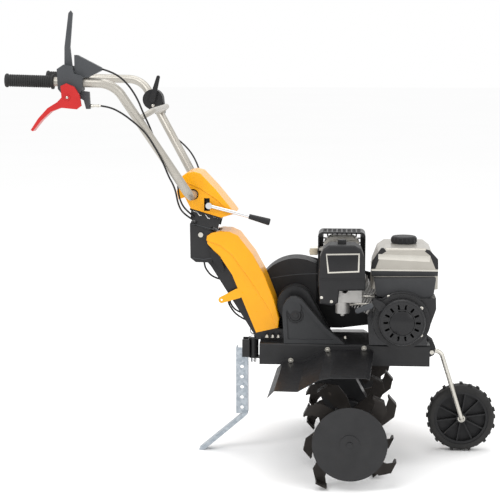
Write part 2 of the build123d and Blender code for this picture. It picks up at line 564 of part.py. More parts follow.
with BuildPart() as crankcase:
    slab([on_cylinder(CYLINDER_FACE, -46), on_cylinder(CYLINDER_FACE, 46), (425, 500), (452, 470),
          (460, 380), (460, ENGINE_BASE), (300, ENGINE_BASE)], -CRANKCASE_HALF, CRANKCASE_HALF)
    block(306, 462, -CRANKCASE_HALF, CRANKCASE_HALF, ENGINE_BASE, ENGINE_BASE + 9)
    block(436, 464, -EAR_OUT - 1, EAR_OUT + 1, ENGINE_BASE - 1, 350, mode=Mode.SUBTRACT)
    round_y(CRANK, 34, CRANKCASE_HALF, COVER_PLATE_Y - GAP)
    round_y(CRANK, 60, -CRANKCASE_HALF + 12, CRANKCASE_HALF - 12, mode=Mode.SUBTRACT)
    round_y(CRANK, SHAFT_RADIUS + RUN, -CRANKCASE_HALF - 1, COVER_PLATE_Y, mode=Mode.SUBTRACT)
    for side in (-1, 1):
        for x in ENGINE_BOLTS_X:
            round_z(x, side * ENGINE_BOLT_Y, BOLT_RADIUS + RUN, ENGINE_BASE - 1, ENGINE_BASE + 40,
                    mode=Mode.SUBTRACT)
PIECES["crankcase"] = crankcase

FIN_COUNT, FIN_PITCH, FIN_THICK = 8, 7.5, 2.5
with BuildPart() as cylinder:
    cylinder_slab(CYLINDER_FACE + 0.3, 6, 44, 48)
    cylinder_slab(CYLINDER_FACE + 4, FIN_COUNT * FIN_PITCH + 6, 32, 32)
    for i in range(FIN_COUNT):
        cylinder_slab(CYLINDER_FACE + 10 + i * FIN_PITCH, FIN_THICK, 44, 48)
    cylinder_slab(CYLINDER_FACE + 10 + FIN_COUNT * FIN_PITCH, 38, 40, 50)
    cylinder_slab(CYLINDER_FACE + 48 + FIN_COUNT * FIN_PITCH, 20, 30, 42)
    block(295, 400, -60, 60, TANK_LOW_Z - 0.7, 540, mode=Mode.SUBTRACT)
PIECES["cylinder"] = cylinder

WEB_RADIUS = 45.0
CRANK_PIN_THROW = 24.0
with BuildPart() as crankshaft:
    round_y(CRANK, SHAFT_RADIUS, FAN_Y - 12, PTO_END)
    for low in (-24, 12):
        round_y(CRANK, WEB_RADIUS, low, low + 12)
    round_y((CRANK[0], CRANK[1] + CRANK_PIN_THROW), 10, -13, 13)
    round_y(CRANK, PULLEY_CRANK_RADIUS, BELT_Y - BELT_HALF - 4, BELT_Y + BELT_HALF + 4)
    for low in (BELT_Y - BELT_HALF - 4, BELT_Y + BELT_HALF + 0.5):
        round_y(CRANK, PULLEY_CRANK_RADIUS + FLANGE_STEP, low, low + 3.5)
PIECES["crankshaft"] = crankshaft

FAN_RADIUS, FAN_BLADES = 70.0, 18
with BuildPart() as cooling_fan:
    round_y(CRANK, FAN_RADIUS, FAN_Y, FAN_Y + 4)
    round_y(CRANK, 22, FAN_Y, FAN_Y + 20)
    for i in range(FAN_BLADES):
        turn = i * 360 / FAN_BLADES
        with BuildSketch(side_plane(FAN_Y)) as blades:
            with Locations(Location((CRANK[0], CRANK[1], 0), (0, 0, turn))):
                with Locations((50, 0)):
                    Rectangle(34, 2.4, rotation=20)
        extrude(blades.sketch, amount=14)
    round_y(CRANK, SHAFT_RADIUS + RUN, FAN_Y - 20, FAN_Y + 30, mode=Mode.SUBTRACT)
PIECES["cooling_fan"] = cooling_fan


def blower_outline(inset):
    """The blower housing's side view: a round scroll with a square shoulder above."""
    with Locations(CRANK):
        Circle(BLOWER_RADIUS - inset)
    with BuildLine() as shoulder:
        Polyline((314 + inset, 480 - inset), (480 - inset, 482 - inset), (481 - inset, 452),
                 (464 - inset, 402), (387, 402), (312 + inset, 440), close=True)
    make_face(shoulder.edges())


with BuildPart() as blower_housing:
    with BuildSketch(side_plane(BLOWER_HIGH)) as outer:
        blower_outline(0)
    extrude(outer.sketch, amount=BLOWER_HIGH - BLOWER_LOW)
    fillet([e for e in blower_housing.edges() if abs(e.center().Y - BLOWER_LOW) < 0.01], radius=3)
    with BuildSketch(side_plane(BLOWER_HIGH + 1)) as inner:
        blower_outline(2.5)
    extrude(inner.sketch, amount=BLOWER_HIGH + 1 - BLOWER_LOW - 2.5, mode=Mode.SUBTRACT)
    round_y(CRANK, 62, BLOWER_LOW - 1, BLOWER_LOW + 5, mode=Mode.SUBTRACT)
PIECES["blower_housing"] = blower_housing

RECOIL_FACE_Y = -205.0
RECOIL_STEP_Y = -184.0
CORD_EXIT = (314.0, 474.0)
CORD_BOSS = 12.0
SLOT_COUNT = 14
with BuildPart() as recoil_cover:
    round_y(CRANK, 77, RECOIL_STEP_Y, BLOWER_LOW - GAP)
    round_y(CRANK, 64, RECOIL_FACE_Y, RECOIL_STEP_Y)
    hull_slab((331, 463), 12, CORD_EXIT, 9, RECOIL_STEP_Y - CORD_BOSS, BLOWER_LOW - GAP)
    fillet([e for e in recoil_cover.edges() if abs(e.center().Y - RECOIL_FACE_Y) < 0.01], radius=6)
    round_y(CRANK, 74, RECOIL_STEP_Y + 3, BLOWER_LOW, mode=Mode.SUBTRACT)
    round_y(CRANK, 56, RECOIL_FACE_Y + 3, BLOWER_LOW, mode=Mode.SUBTRACT)
    with BuildSketch(side_plane(RECOIL_FACE_Y + 4)) as louvres:
        with Locations((CRANK[0], CRANK[1])):
            with PolarLocations(38, SLOT_COUNT):
                SlotOverall(26, 6)
    extrude(louvres.sketch, amount=6, mode=Mode.SUBTRACT)
    round_y(CRANK, 16, RECOIL_FACE_Y, RECOIL_FACE_Y + 24)
PIECES["recoil_cover"] = recoil_cover

HANDLE_FACE_Y = RECOIL_STEP_Y - CORD_BOSS - GAP
HANDLE_THICK = 14.0
with BuildPart() as recoil_handle:
    hull_slab((266, 452), 7, (301, 466), 8, HANDLE_FACE_Y - HANDLE_THICK, HANDLE_FACE_Y)
    fillet([e for e in recoil_handle.edges() if abs(e.center().Y - HANDLE_FACE_Y) < 0.01
            or abs(e.center().Y - HANDLE_FACE_Y + HANDLE_THICK) < 0.01], radius=4)
PIECES["recoil_handle"] = recoil_handle

TANK_REAR_Y, TANK_NEAR_Y = 76.0, -128.0
CAP_SPOT = (396.0, -14.0)
TANK_TOP_Z = 614.0
TANK_OUTLINE = [(303, TANK_LOW_Z), (307, 560), (322, 600), (342, TANK_TOP_Z), (452, TANK_TOP_Z),
                (470, 600), (487, 560), (487, TANK_LOW_Z)]
NECK_RADIUS = 26.0
with BuildPart() as fuel_tank:
    slab(TANK_OUTLINE, TANK_NEAR_Y, TANK_REAR_Y)
    fillet([e for e in fuel_tank.edges() if e.center().Z > TANK_LOW_Z + 1
            and min(abs(e.center().Y - TANK_NEAR_Y), abs(e.center().Y - TANK_REAR_Y)) < 0.01], radius=10)
    sketch_slab(inset_outline(TANK_OUTLINE, SHEET), TANK_NEAR_Y + SHEET, TANK_REAR_Y - SHEET,
                mode=Mode.SUBTRACT)
    round_z(*CAP_SPOT, NECK_RADIUS, TANK_TOP_Z - SHEET, TANK_TOP_Z + 8)
    round_z(*CAP_SPOT, NECK_RADIUS - 2.5, TANK_TOP_Z - SHEET - 1, TANK_TOP_Z + 9, mode=Mode.SUBTRACT)
PIECES["fuel_tank"] = fuel_tank

CAP_RADIUS = 35.0
with BuildPart() as fuel_cap:
    round_z(*CAP_SPOT, CAP_RADIUS, TANK_TOP_Z + GAP, TANK_TOP_Z + 20)
    fillet(fuel_cap.edges().sort_by(Axis.Z)[-1], radius=5)
    round_z(*CAP_SPOT, NECK_RADIUS + RUN, TANK_TOP_Z, TANK_TOP_Z + 8 + GAP, mode=Mode.SUBTRACT)
PIECES["fuel_cap"] = fuel_cap

CLEANER_NEAR_Y, CLEANER_FAR_Y = -190.0, -112.0
CLEANER = [(163, 467), (159, 534), (162, 594), (172, 618), (187, 629), (256, 629), (274, 619), (283, 595),
           (287, 534), (287, 505), (216, 503), (213, 470), (196, 462)]
CLEANER_KNOB = (222, -150)
with BuildPart() as air_cleaner:
    slab(CLEANER, CLEANER_NEAR_Y, CLEANER_FAR_Y)
    fillet([e for e in air_cleaner.edges() if abs(e.center().Y - CLEANER_NEAR_Y) < 0.01], radius=7)
    sketch_slab(inset_outline(CLEANER, SHEET), CLEANER_NEAR_Y + SHEET, CLEANER_FAR_Y + 1,
                mode=Mode.SUBTRACT)
    round_z(*CLEANER_KNOB, 12, 625, 640)
PIECES["air_cleaner"] = air_cleaner

HEAD_PORT = on_cylinder(PORT_REACH, 0)
BOWL_SPOT, BOWL_RADIUS = (HEAD_PORT[0] - 6, -82.0), 20.0
with BuildPart() as carburettor:
    block(172, 278, CLEANER_FAR_Y + GAP, CLEANER_FAR_Y + 3 + GAP, 458, 548)
    round_y(HEAD_PORT, 17, CLEANER_FAR_Y + 3, -50.4)
    block(HEAD_PORT[0] - 27, HEAD_PORT[0] + 27, -57, -50.4, HEAD_PORT[1] - 22, HEAD_PORT[1] + 22)
    round_z(*BOWL_SPOT, BOWL_RADIUS, 424, HEAD_PORT[1])
    round_z(*BOWL_SPOT, 6, 416, 424)
    round_y(HEAD_PORT, 9, CLEANER_FAR_Y - 1, -49, mode=Mode.SUBTRACT)
PIECES["carburettor"] = carburettor

SPARK_SPOT = on_cylinder(PORT_REACH, 40.3)
with BuildPart() as spark_plug:
    with BuildSketch(Plane((SPARK_SPOT[0], -18, SPARK_SPOT[1]), x_dir=(0, 1, 0),
                           z_dir=(axis_up[0], 0, axis_up[1]))) as plug:
        Circle(6.5)
    extrude(plug.sketch, amount=22)
    with BuildSketch(Plane((SPARK_SPOT[0], -18, SPARK_SPOT[1]), x_dir=(0, 1, 0),
                           z_dir=(axis_up[0], 0, axis_up[1])).offset(14)) as boot:
        Circle(9)
    extrude(boot.sketch, amount=24)
PIECES["spark_plug"] = spark_plug

GUARD = (152.0, 289.0, 54.0, 143.0, 465.0, 634.0)    # x, y and z limits of the muffler guard
MUFFLER = (168.0, 272.0, 62.0, 132.0, 500.0, 618.0)
OUTLET = (96.0, 578.0)                               # y, z
with BuildPart() as muffler:
    block(*MUFFLER)
    fillet(muffler.edges().filter_by(Axis.Y), radius=26)
    with BuildSketch(Plane.YZ.offset(127)) as outlet:
        with Locations(OUTLET):
            Circle(9)
            Circle(7, mode=Mode.SUBTRACT)
    extrude(outlet.sketch, amount=48)
    block(HEAD_PORT[0] - 20, HEAD_PORT[0] + 20, 50.4, 63, 503, HEAD_PORT[1] + 26)
PIECES["muffler"] = muffler

GUARD_WALL = 2.0
HOLE_SIDE, HOLE_PITCH = 10.0, 14.0
with BuildPart() as muffler_guard:
    block(*GUARD)
    fillet(muffler_guard.edges().filter_by(Axis.Y), radius=14)
    block(GUARD[0] + GUARD_WALL, GUARD[1] - GUARD_WALL, GUARD[2] - 1, GUARD[3] - GUARD_WALL,
          GUARD[4] - 20, GUARD[5] - GUARD_WALL - 12, mode=Mode.SUBTRACT)
    block(GUARD[0] + 12, GUARD[1] - 12, GUARD[2] - 1, GUARD[3] - GUARD_WALL,
          GUARD[4] + 10, GUARD[5] - GUARD_WALL, mode=Mode.SUBTRACT)
    with BuildSketch(side_plane(GUARD[3] + 1)) as side_holes:
        with Locations(((GUARD[0] + GUARD[1]) / 2, (GUARD[4] + GUARD[5]) / 2)):
            with GridLocations(HOLE_PITCH, HOLE_PITCH, 8, 10):
                Rectangle(HOLE_SIDE, HOLE_SIDE)
    extrude(side_holes.sketch, amount=GUARD_WALL + 4, mode=Mode.SUBTRACT)
    with BuildSketch(Plane.YZ.offset(GUARD[0] - 1)) as end_holes:
        with Locations(((GUARD[2] + GUARD[3]) / 2, (GUARD[4] + GUARD[5]) / 2)):
            with GridLocations(HOLE_PITCH, HOLE_PITCH, 5, 9):
                Rectangle(HOLE_SIDE, HOLE_SIDE)
    extrude(end_holes.sketch, amount=GUARD[1] - GUARD[0] + 2, mode=Mode.SUBTRACT)
    with BuildSketch(Plane.XY.offset(GUARD[5] - 6)) as top_holes:
        with Locations(((GUARD[0] + GUARD[1]) / 2, (GUARD[2] + GUARD[3]) / 2)):
            with GridLocations(HOLE_PITCH, HOLE_PITCH, 8, 5):
                Rectangle(HOLE_SIDE, HOLE_SIDE)
    extrude(top_holes.sketch, amount=8, mode=Mode.SUBTRACT)
    with BuildSketch(Plane.YZ.offset(GUARD[0] - 1)) as outlet_gap:
        with Locations(OUTLET):
            Circle(11)
    extrude(outlet_gap.sketch, amount=GUARD_WALL + 4, mode=Mode.SUBTRACT)
    for x in (GUARD[0] + 20, GUARD[1] - 20):
        block(x - 5, x + 5, MUFFLER[3] + GAP, GUARD[3] - GUARD_WALL + 0.5, 540, 552)
PIECES["muffler_guard"] = muffler_guard

ROD_RADIUS = 2.2
with BuildPart() as control_rods:
    rod_start = BOWL_SPOT[0] + BOWL_RADIUS + 0.7
    pipe([(rod_start, -84, 468), (262, -90, 470), (286, -98, 474), (313.1, -98, 474)], [12, 12], ROD_RADIUS)
    pipe([(rod_start, -82, 446), (262, -83, 449), (286, -85, 450), (311.8, -85, 451)], [12, 12], ROD_RADIUS)
PIECES["control_rods"] = control_rods


# ============================================================================================
# Mudguards
# ============================================================================================
GUARD_SHEET = 2.5
GUARD_CREASE = [(42, 262), (60, 281), (122, 280), (178, 312), (208, 318), (303, 319), (313, 314)]
GUARD_SLANT = (-14.0, 237.6, -26.0)      # from the chassis side to the outer edge
GUARD_TURN_UP = 11.0


def mudguard(side):
    """A folded sheet bolted to one side of the chassis."""
    upper = [(x, z + GUARD_SHEET) for x, z in reversed(GUARD_CREASE)]
    reach = Vector(GUARD_SLANT[0], side * GUARD_SLANT[1], GUARD_SLANT[2])
    with BuildSketch(side_plane(side * (CHASSIS_HALF + GAP))) as sheet:
        with BuildLine() as line:
            Polyline(*GUARD_CREASE, *upper, close=True)
        make_face(line.edges())
    extrude(sheet.sketch, amount=reach.length, dir=reach.normalized())
    low, high = sorted((side * (CHASSIS_HALF + GAP), side * (CHASSIS_HALF + GAP + GUARD_SHEET)))
    flange = GUARD_CREASE[1:6]
    slab(flange + [(x, z + GUARD_TURN_UP) for x, z in reversed(flange)], low, high)
    for spot in GUARD_BOLTS:
        round_y(spot, GUARD_BOLT_RADIUS + RUN, low - 1, high + 1, mode=Mode.SUBTRACT)


with BuildPart() as mudguard_right:
    mudguard(-1)
PIECES["mudguard_right"] = mudguard_right
with BuildPart() as mudguard_left:
    mudguard(1)
PIECES["mudguard_left"] = mudguard_left

# ============================================================================================
# Rotor
# ============================================================================================
STARS = [(-347, "A", 1), (-230, "B", 1), (-110, "A", 1), (110, "B", -1), (230, "A", -1), (347, "B", -1)]
STAR_TURN = {"A": 217.0, "B": 283.0}
FLANGE_RADIUS, FLANGE_THICK = 46.0, 5.0
BLADE_THICK, FLAP_REACH, FLAP_THICK = 5.0, 35.0, 5.0
BLADE_SEAT = FLANGE_THICK / 2 + 0.2
with BuildPart() as rotor_axle:
    round_y(ROTOR, AXLE_RADIUS, -DISC_Y + 3 + GAP, DISC_Y - 3 - GAP)
    round_y(ROTOR, 8, -DISC_Y - 5, DISC_Y + 5)
    round_y(ROTOR, SPROCKET_LOW_RADIUS, CHAIN_Y - CHAIN_HALF, CHAIN_Y + CHAIN_HALF)
    for y, _, _ in STARS:
        round_y(ROTOR, FLANGE_RADIUS, y - FLANGE_THICK / 2, y + FLANGE_THICK / 2)
PIECES["rotor_axle"] = rotor_axle


def blade_point(radius, angle, turn):
    """A point of a blade's outline, given round the rotor's axis."""
    spot = radians(angle + turn)
    return (ROTOR_X + radius * cos(spot), ROTOR_Z + radius * sin(spot))


BLADE = [(24, -38), (50, -20), (90, -8), (125, 2), (TINE_REACH, 14), (TINE_REACH - 4, 27), (118, 20), (85, 14),
         (50, 22), (24, 40)]
FLAP = [(TINE_REACH, 14), (TINE_REACH - 4, 27), (TINE_REACH - 4 - FLAP_THICK, 26.6),
        (TINE_REACH - FLAP_THICK, 13.8)]
with BuildPart() as tines:
    for y, star, inward in STARS:
        for i in range(4):
            turn = STAR_TURN[star] + 90 * i
            side = inward if i % 2 else -inward
            low, high = sorted((y + side * BLADE_SEAT, y + side * (BLADE_SEAT + BLADE_THICK)))
            slab([blade_point(r, a, turn) for r, a in BLADE], low, high)
            low, high = sorted((y + side * BLADE_SEAT, y + side * (BLADE_SEAT + FLAP_REACH)))
            slab([blade_point(r, a, turn) for r, a in FLAP], low, high)
    round_y(ROTOR, AXLE_RADIUS + RUN, -DISC_Y, DISC_Y, mode=Mode.SUBTRACT)
PIECES["tines"] = tines

with BuildPart() as side_discs:
    for side in (-1, 1):
        low, high = sorted((side * (DISC_Y - 3), side * DISC_Y))
        ring_y(ROTOR, DISC_RADIUS, 8 + RUN, low, high)
        low, high = sorted((side * (DISC_Y - 2), side * (DISC_Y + 2)))
        ring_y(ROTOR, 26, 8 + RUN, low, high)
PIECES["side_discs"] = side_discs

# ============================================================================================
# Hitch and spur
# ============================================================================================
CHEEK_IN, CHEEK_OUT = SPUR_HALF + GAP, SPUR_HALF + GAP + 4
HITCH_LOW, HITCH_HIGH = CHASSIS_LOW + CHASSIS_WALL + GAP, CHASSIS_TOP - CHASSIS_WALL - GAP
with BuildPart() as hitch_barrel:
    block(-62, -41, -CHEEK_OUT, CHEEK_OUT, HITCH_LOW, HITCH_HIGH)
    block(-63, SPUR_FRONT + GAP, -CHEEK_IN, CHEEK_IN, HITCH_LOW - 1, HITCH_HIGH + 1, mode=Mode.SUBTRACT)
    round_z(KINGPIN_X, 0, TONGUE_RADIUS - 1, HITCH_LOW, HITCH_HIGH)
    round_z(KINGPIN_X, 0, KINGPIN_RADIUS + RUN, HITCH_LOW - 1, HITCH_HIGH + 1, mode=Mode.SUBTRACT)
PIECES["hitch_barrel"] = hitch_barrel

SPUR_HOLES_Z = [130, 160, 190, 220, 250]
SPUR_HOLE_RADIUS = 5.0
TONGUE_OUTLINE = [(-50, 140), (-46.5, 140), (-46.5, 111), (-57, 100), (-174, 0), (-188, 0), (-188, 3), (-66, 107),
                  (-54, 118), (-50, 126)]
with BuildPart() as spur:
    block(SPUR_REAR, SPUR_FRONT, -SPUR_HALF, SPUR_HALF, SPUR_BEND_Z, SPUR_TOP)
    block(SPUR_REAR + 4, SPUR_FRONT - 4, -SPUR_HALF + 4, SPUR_HALF + 1, SPUR_BEND_Z - 1, SPUR_TOP + 1,
          mode=Mode.SUBTRACT)
    slab(TONGUE_OUTLINE, -SPUR_HALF + 0.5, SPUR_HALF - 0.5)
    for z in SPUR_HOLES_Z:
        round_y((-63, z), SPUR_HOLE_RADIUS, -SPUR_HALF - 1, -SPUR_HALF + 5, mode=Mode.SUBTRACT)
PIECES["spur"] = spur

with BuildPart() as hitch_pin:
    round_z(KINGPIN_X, 0, KINGPIN_RADIUS, 262, CHASSIS_TOP + 8)
    round_z(KINGPIN_X, 0, KINGPIN_RADIUS + 2, CHASSIS_TOP + 0.3, CHASSIS_TOP + 4)
    with BuildSketch(Plane((KINGPIN_X, 0, CHASSIS_TOP + 19), x_dir=(1, 0, 0), z_dir=(0, 0, 1))) as ring:
        with Locations((11, 0)):
            Circle(2.2)
    revolve(ring.sketch, axis=Axis((KINGPIN_X, 0, CHASSIS_TOP + 19), (0, 1, 0)))
    with Locations((KINGPIN_X, 0, 267)):
        Cylinder(1.6, 34, rotation=(90, 0, 0))
PIECES["hitch_pin"] = hitch_pin

# ============================================================================================
# Front wheel
# ============================================================================================
ROD_THICK = 6.5
WHEEL = (WHEEL_X, WHEEL_RADIUS)
WHEEL_AXLE_RADIUS = 6.0
WHEEL_LOW, WHEEL_HIGH = 18.0, 18.0 + WHEEL_WIDTH
with BuildPart() as wheel_rod:
    pipe([(451, 0, 271), (500, 0, 321), (WHEEL_X, 0, WHEEL_RADIUS), (WHEEL_X, 14.6, WHEEL_RADIUS)], [22, 12],
         ROD_THICK)
    round_y(WHEEL, WHEEL_AXLE_RADIUS, 13, WHEEL_HIGH + 7)
    round_y(WHEEL_PIVOT, 10, -10, 10)
    round_y(WHEEL_PIVOT, PIVOT_BOLT_RADIUS + RUN, -11, 11, mode=Mode.SUBTRACT)
    ring_y(WHEEL, 9, WHEEL_AXLE_RADIUS - 1, WHEEL_HIGH + 2 + GAP, WHEEL_HIGH + 5)
PIECES["wheel_rod"] = wheel_rod

RIM_RADIUS = 74.0
RIB_COUNT = 10
with BuildPart() as wheel_rim:
    ring_y(WHEEL, RIM_RADIUS, RIM_RADIUS - 4, WHEEL_LOW + 3, WHEEL_HIGH - 3)
    for low in (WHEEL_LOW + 3, WHEEL_HIGH - 6):
        ring_y(WHEEL, RIM_RADIUS + 4, RIM_RADIUS - 4, low, low + 3)
    ring_y(WHEEL, RIM_RADIUS - 3, 10, 38, 42)
    round_y(WHEEL, 15, WHEEL_LOW - 2, WHEEL_HIGH + 2)
    for i in range(RIB_COUNT):
        with BuildSketch(side_plane(WHEEL_HIGH - 5)) as rib:
            with Locations(Location((WHEEL[0], WHEEL[1], 0), (0, 0, i * 360 / RIB_COUNT + 9))):
                with Locations((42, 0)):
                    Rectangle(60, 4)
        extrude(rib.sketch, amount=WHEEL_WIDTH - 10)
    round_y(WHEEL, WHEEL_AXLE_RADIUS + RUN, 10, WHEEL_HIGH + 5, mode=Mode.SUBTRACT)
PIECES["wheel_rim"] = wheel_rim

LUG_COUNT, LUG_HEIGHT = 24, 5.0
with BuildPart() as wheel_tyre:
    ring_y(WHEEL, WHEEL_RADIUS - LUG_HEIGHT, RIM_RADIUS + 0.2, WHEEL_LOW, WHEEL_HIGH)
    fillet([e for e in wheel_tyre.edges().filter_by(GeomType.CIRCLE)
            if abs(e.radius - WHEEL_RADIUS + LUG_HEIGHT) < 0.1], radius=9)
    for low in (WHEEL_LOW + 3, WHEEL_HIGH - 6):
        round_y(WHEEL, RIM_RADIUS + 4.2, low - 0.2 if low > 30 else WHEEL_LOW - 1,
                WHEEL_HIGH + 1 if low > 30 else low + 3.2, mode=Mode.SUBTRACT)
    for i in range(LUG_COUNT):
        turn = i * 360 / LUG_COUNT
        low, high = (WHEEL_LOW + 4, 42) if i % 2 else (38, WHEEL_HIGH - 4)
        with BuildSketch(side_plane(high)) as lug:
            with Locations(Location((WHEEL[0], WHEEL[1], 0), (0, 0, turn))):
                with Locations((WHEEL_RADIUS - LUG_HEIGHT - 0.5, 0)):
                    Rectangle(2 * LUG_HEIGHT, 9)
        extrude(lug.sketch, amount=high - low)
    with BuildSketch(side_plane(WHEEL_HIGH + 2)) as trim:
        with Locations(WHEEL):
            Circle(WHEEL_RADIUS + 20)
            Circle(WHEEL_RADIUS, mode=Mode.SUBTRACT)
    extrude(trim.sketch, amount=WHEEL_WIDTH + 4, mode=Mode.SUBTRACT)
PIECES["wheel_tyre"] = wheel_tyre

# ============================================================================================
# Handlebar and levers
# ============================================================================================
TUBE_INNER = TUBE_RADIUS - TUBE_WALL
CLAMP_BORE = TUBE_RADIUS + RUN


def handle_points(side):
    """The handlebar tube's axis on one side."""
    return [(HANDLE_REAR_X, side * HANDLE_HALF_SPAN, HANDLE_HEIGHT),
            (HANDLE_BEND[0], side * HANDLE_HALF_SPAN, HANDLE_BEND[1]),
            (HANDLE_PIVOT[0], side * ELBOW_Y, HANDLE_PIVOT[1]),
            (HANDLE_PIVOT[0], side * TUBE_END_Y, HANDLE_PIVOT[1])]


with BuildPart() as handle_right:
    pipe(handle_points(-1), [70, 34], TUBE_RADIUS, TUBE_INNER)
PIECES["handle_right"] = handle_right
with BuildPart() as handle_left:
    pipe(handle_points(1), [70, 34], TUBE_RADIUS, TUBE_INNER)
PIECES["handle_left"] = handle_left

SLOPE = Vector(HANDLE_PIVOT[0] - HANDLE_BEND[0], ELBOW_Y - HANDLE_HALF_SPAN, HANDLE_PIVOT[1] - HANDLE_BEND[1])
TOP_RUN = Vector(HANDLE_BEND[0] - HANDLE_REAR_X, 0, HANDLE_BEND[1] - HANDLE_HEIGHT).normalized()


def slope_bore(side, radius):
    """Clears a round channel along the sloping run of a handlebar tube."""
    run = Vector(SLOPE.X, side * SLOPE.Y, SLOPE.Z)
    start = Vector(HANDLE_BEND[0], side * HANDLE_HALF_SPAN, HANDLE_BEND[1])
    with BuildSketch(Plane(start, z_dir=run)) as bore:
        Circle(radius)
    extrude(bore.sketch, amount=run.length, mode=Mode.SUBTRACT)


def top_bore(side, radius):
    """Clears a round channel along the grip run of a handlebar tube."""
    start = Vector(HANDLE_REAR_X, side * HANDLE_HALF_SPAN, HANDLE_HEIGHT)
    with BuildSketch(Plane(start, z_dir=TOP_RUN)) as bore:
        Circle(radius)
    extrude(bore.sketch, amount=260, mode=Mode.SUBTRACT)


BRACE_RADIUS = 8.0
with BuildPart() as handle_brace:
    pipe([(-327, -219, 969), (-296, -150, 990), (-296, 150, 990), (-327, 219, 969)], [60, 60], BRACE_RADIUS)
    for side in (-1, 1):
        slope_bore(side, TUBE_RADIUS + 0.2)
PIECES["handle_brace"] = handle_brace

with BuildPart() as grips:
    for side in (-1, 1):
        end = Vector(HANDLE_REAR_X, side * HANDLE_HALF_SPAN, HANDLE_HEIGHT) - TOP_RUN * 4
        base = Plane(end, z_dir=TOP_RUN)
        for at, radius, length in ((0, GRIP_RADIUS, GRIP_LENGTH + 4), (0, GRIP_RADIUS + 2, 8),
                                   (GRIP_LENGTH - 1, GRIP_RADIUS + 3.5, 5)):
            with BuildSketch(base.offset(at)) as section:
                Circle(radius)
            extrude(section.sketch, amount=length)
    for side in (-1, 1):
        top_bore(side, CLAMP_BORE)
PIECES["grips"] = grips

HOUSING = [(-530, 1052), (-514, 1032), (-484, 1030), (-466, 1048), (-463, 1086), (-486, 1092), (-492, 1112),
           (-514, 1116), (-532, 1104)]
WEDGE = [(-487, 1088), (-487, 1141), (-480, 1141), (-416, 1108), (-416, 1100), (-452, 1082)]
LUG = [(-484, 1032), (-464, 1046), (-450, 1044), (-448, 999), (-458, 999), (-464, 1022)]
LEVER_PIN = 3.0
REVERSE_PIN = 4.0
with BuildPart() as lever_housing:
    slab(HOUSING, -284, -240)
    slab(WEDGE, -272, -250)
    slab(LUG, -270, -252)
    top_bore(-1, CLAMP_BORE)
    block(-545, -487, -267, -255, 1085.5, 1130, mode=Mode.SUBTRACT)
    round_y(CLUTCH_PIVOT, LEVER_PIN + RUN, -283.5, -240.5, mode=Mode.SUBTRACT)
    round_y(REVERSE_PIVOT, REVERSE_PIN + RUN, -285, -261, mode=Mode.SUBTRACT)
PIECES["lever_housing"] = lever_housing

CLUTCH_LEVER = [(-512, 1094), (-515, 1112), (-514, 1162), (-502, 1250), (-496, 1257), (-491, 1250),
                (-499, 1162), (-494, 1112), (-490, 1097)]
with BuildPart() as clutch_lever:
    slab(CLUTCH_LEVER, -265, -257)
    round_y(CLUTCH_PIVOT, 11, -265, -257)
    round_y(CLUTCH_PIVOT, LEVER_PIN, -283, -241)
PIECES["clutch_lever"] = clutch_lever

REVERSE_LEVER = [(-520, 1060), (-505, 1067), (-484, 1058), (-470, 1036), (-466, 1008), (-478, 999),
                 (-520, 1003), (-548, 992), (-574, 968), (-596, 941), (-602, 944), (-582, 974),
                 (-556, 1002), (-530, 1018), (-518, 1030)]
REVERSE_BLADE = [(-520, 1003), (-548, 992), (-574, 968), (-596, 941), (-602, 944), (-582, 974), (-556, 1002),
                 (-530, 1018)]
with BuildPart() as reverse_lever:
    slab(REVERSE_LEVER, -297, -287)
    slab(REVERSE_BLADE, -297, -262)
    round_y(REVERSE_PIVOT, REVERSE_PIN, -290, -262)
PIECES["reverse_lever"] = reverse_lever

THROTTLE_PIN = 4.0
with BuildPart() as throttle_housing:
    round_y(THROTTLE_PIVOT, 30, 206, 248)
    hull_slab(THROTTLE_PIVOT, 30, (-326, 972), 14, 217.5, 248)
    slope_bore(1, CLAMP_BORE)
    round_y(THROTTLE_PIVOT, THROTTLE_PIN + RUN, 205, 218, mode=Mode.SUBTRACT)
PIECES["throttle_housing"] = throttle_housing
with BuildPart() as throttle_lever:
    hull_slab(THROTTLE_PIVOT, 9, (-328, 1074), 5, 197, 205.6)
    round_y(THROTTLE_PIVOT, THROTTLE_PIN, 200, 217.5)
PIECES["throttle_lever"] = throttle_lever

LOCK_BEND = (-39.0, 693.0)
with BuildPart() as lock_lever:
    round_y(LOCK_PIVOT, LOCK_HUB_RADIUS, -80, -68)
    round_y(LOCK_PIVOT, LOCK_STUB_RADIUS, -70, -BRACKET_EAR + 1)
    pipe([(LOCK_PIVOT[0], -74, LOCK_PIVOT[1]), (LOCK_BEND[0], -74, LOCK_BEND[1])], None, 5)
PIECES["lock_lever"] = lock_lever
KNOB_END = (20.0, 677.0)
with BuildPart() as lock_knob:
    along = Vector(KNOB_END[0] - LOCK_BEND[0], 0, KNOB_END[1] - LOCK_BEND[1])
    start = Vector(LOCK_BEND[0], -74, LOCK_BEND[1]) + along.normalized() * 0.3
    with BuildSketch(Plane(start, z_dir=along)) as near_end:
        Circle(7)
    with BuildSketch(Plane(start, z_dir=along).offset(along.length)) as far_end:
        Circle(10)
    loft([near_end.sketch.face(), far_end.sketch.face()])
    fillet(lock_knob.edges().sort_by(Axis.X)[-1], radius=4)
PIECES["lock_knob"] = lock_knob

# ============================================================================================
# Cables
# ============================================================================================
CABLE_RADIUS = 2.5


def cable(points):
    """A held cable: short straight runs, with the widest tangent arc each corner has room for."""
    radii = []
    for before, corner, after in zip(points, points[1:], points[2:]):
        inward = Vector(*corner) - Vector(*before)
        outward = Vector(*after) - Vector(*corner)
        turn = radians(inward.get_angle(outward))
        shorter = min(inward.length, outward.length)
        radii.append(round(min(0.45 * shorter / tan(max(turn, 0.02) / 2), 900), 1))
    print("cable arcs", radii)
    pipe(points, radii, CABLE_RADIUS)


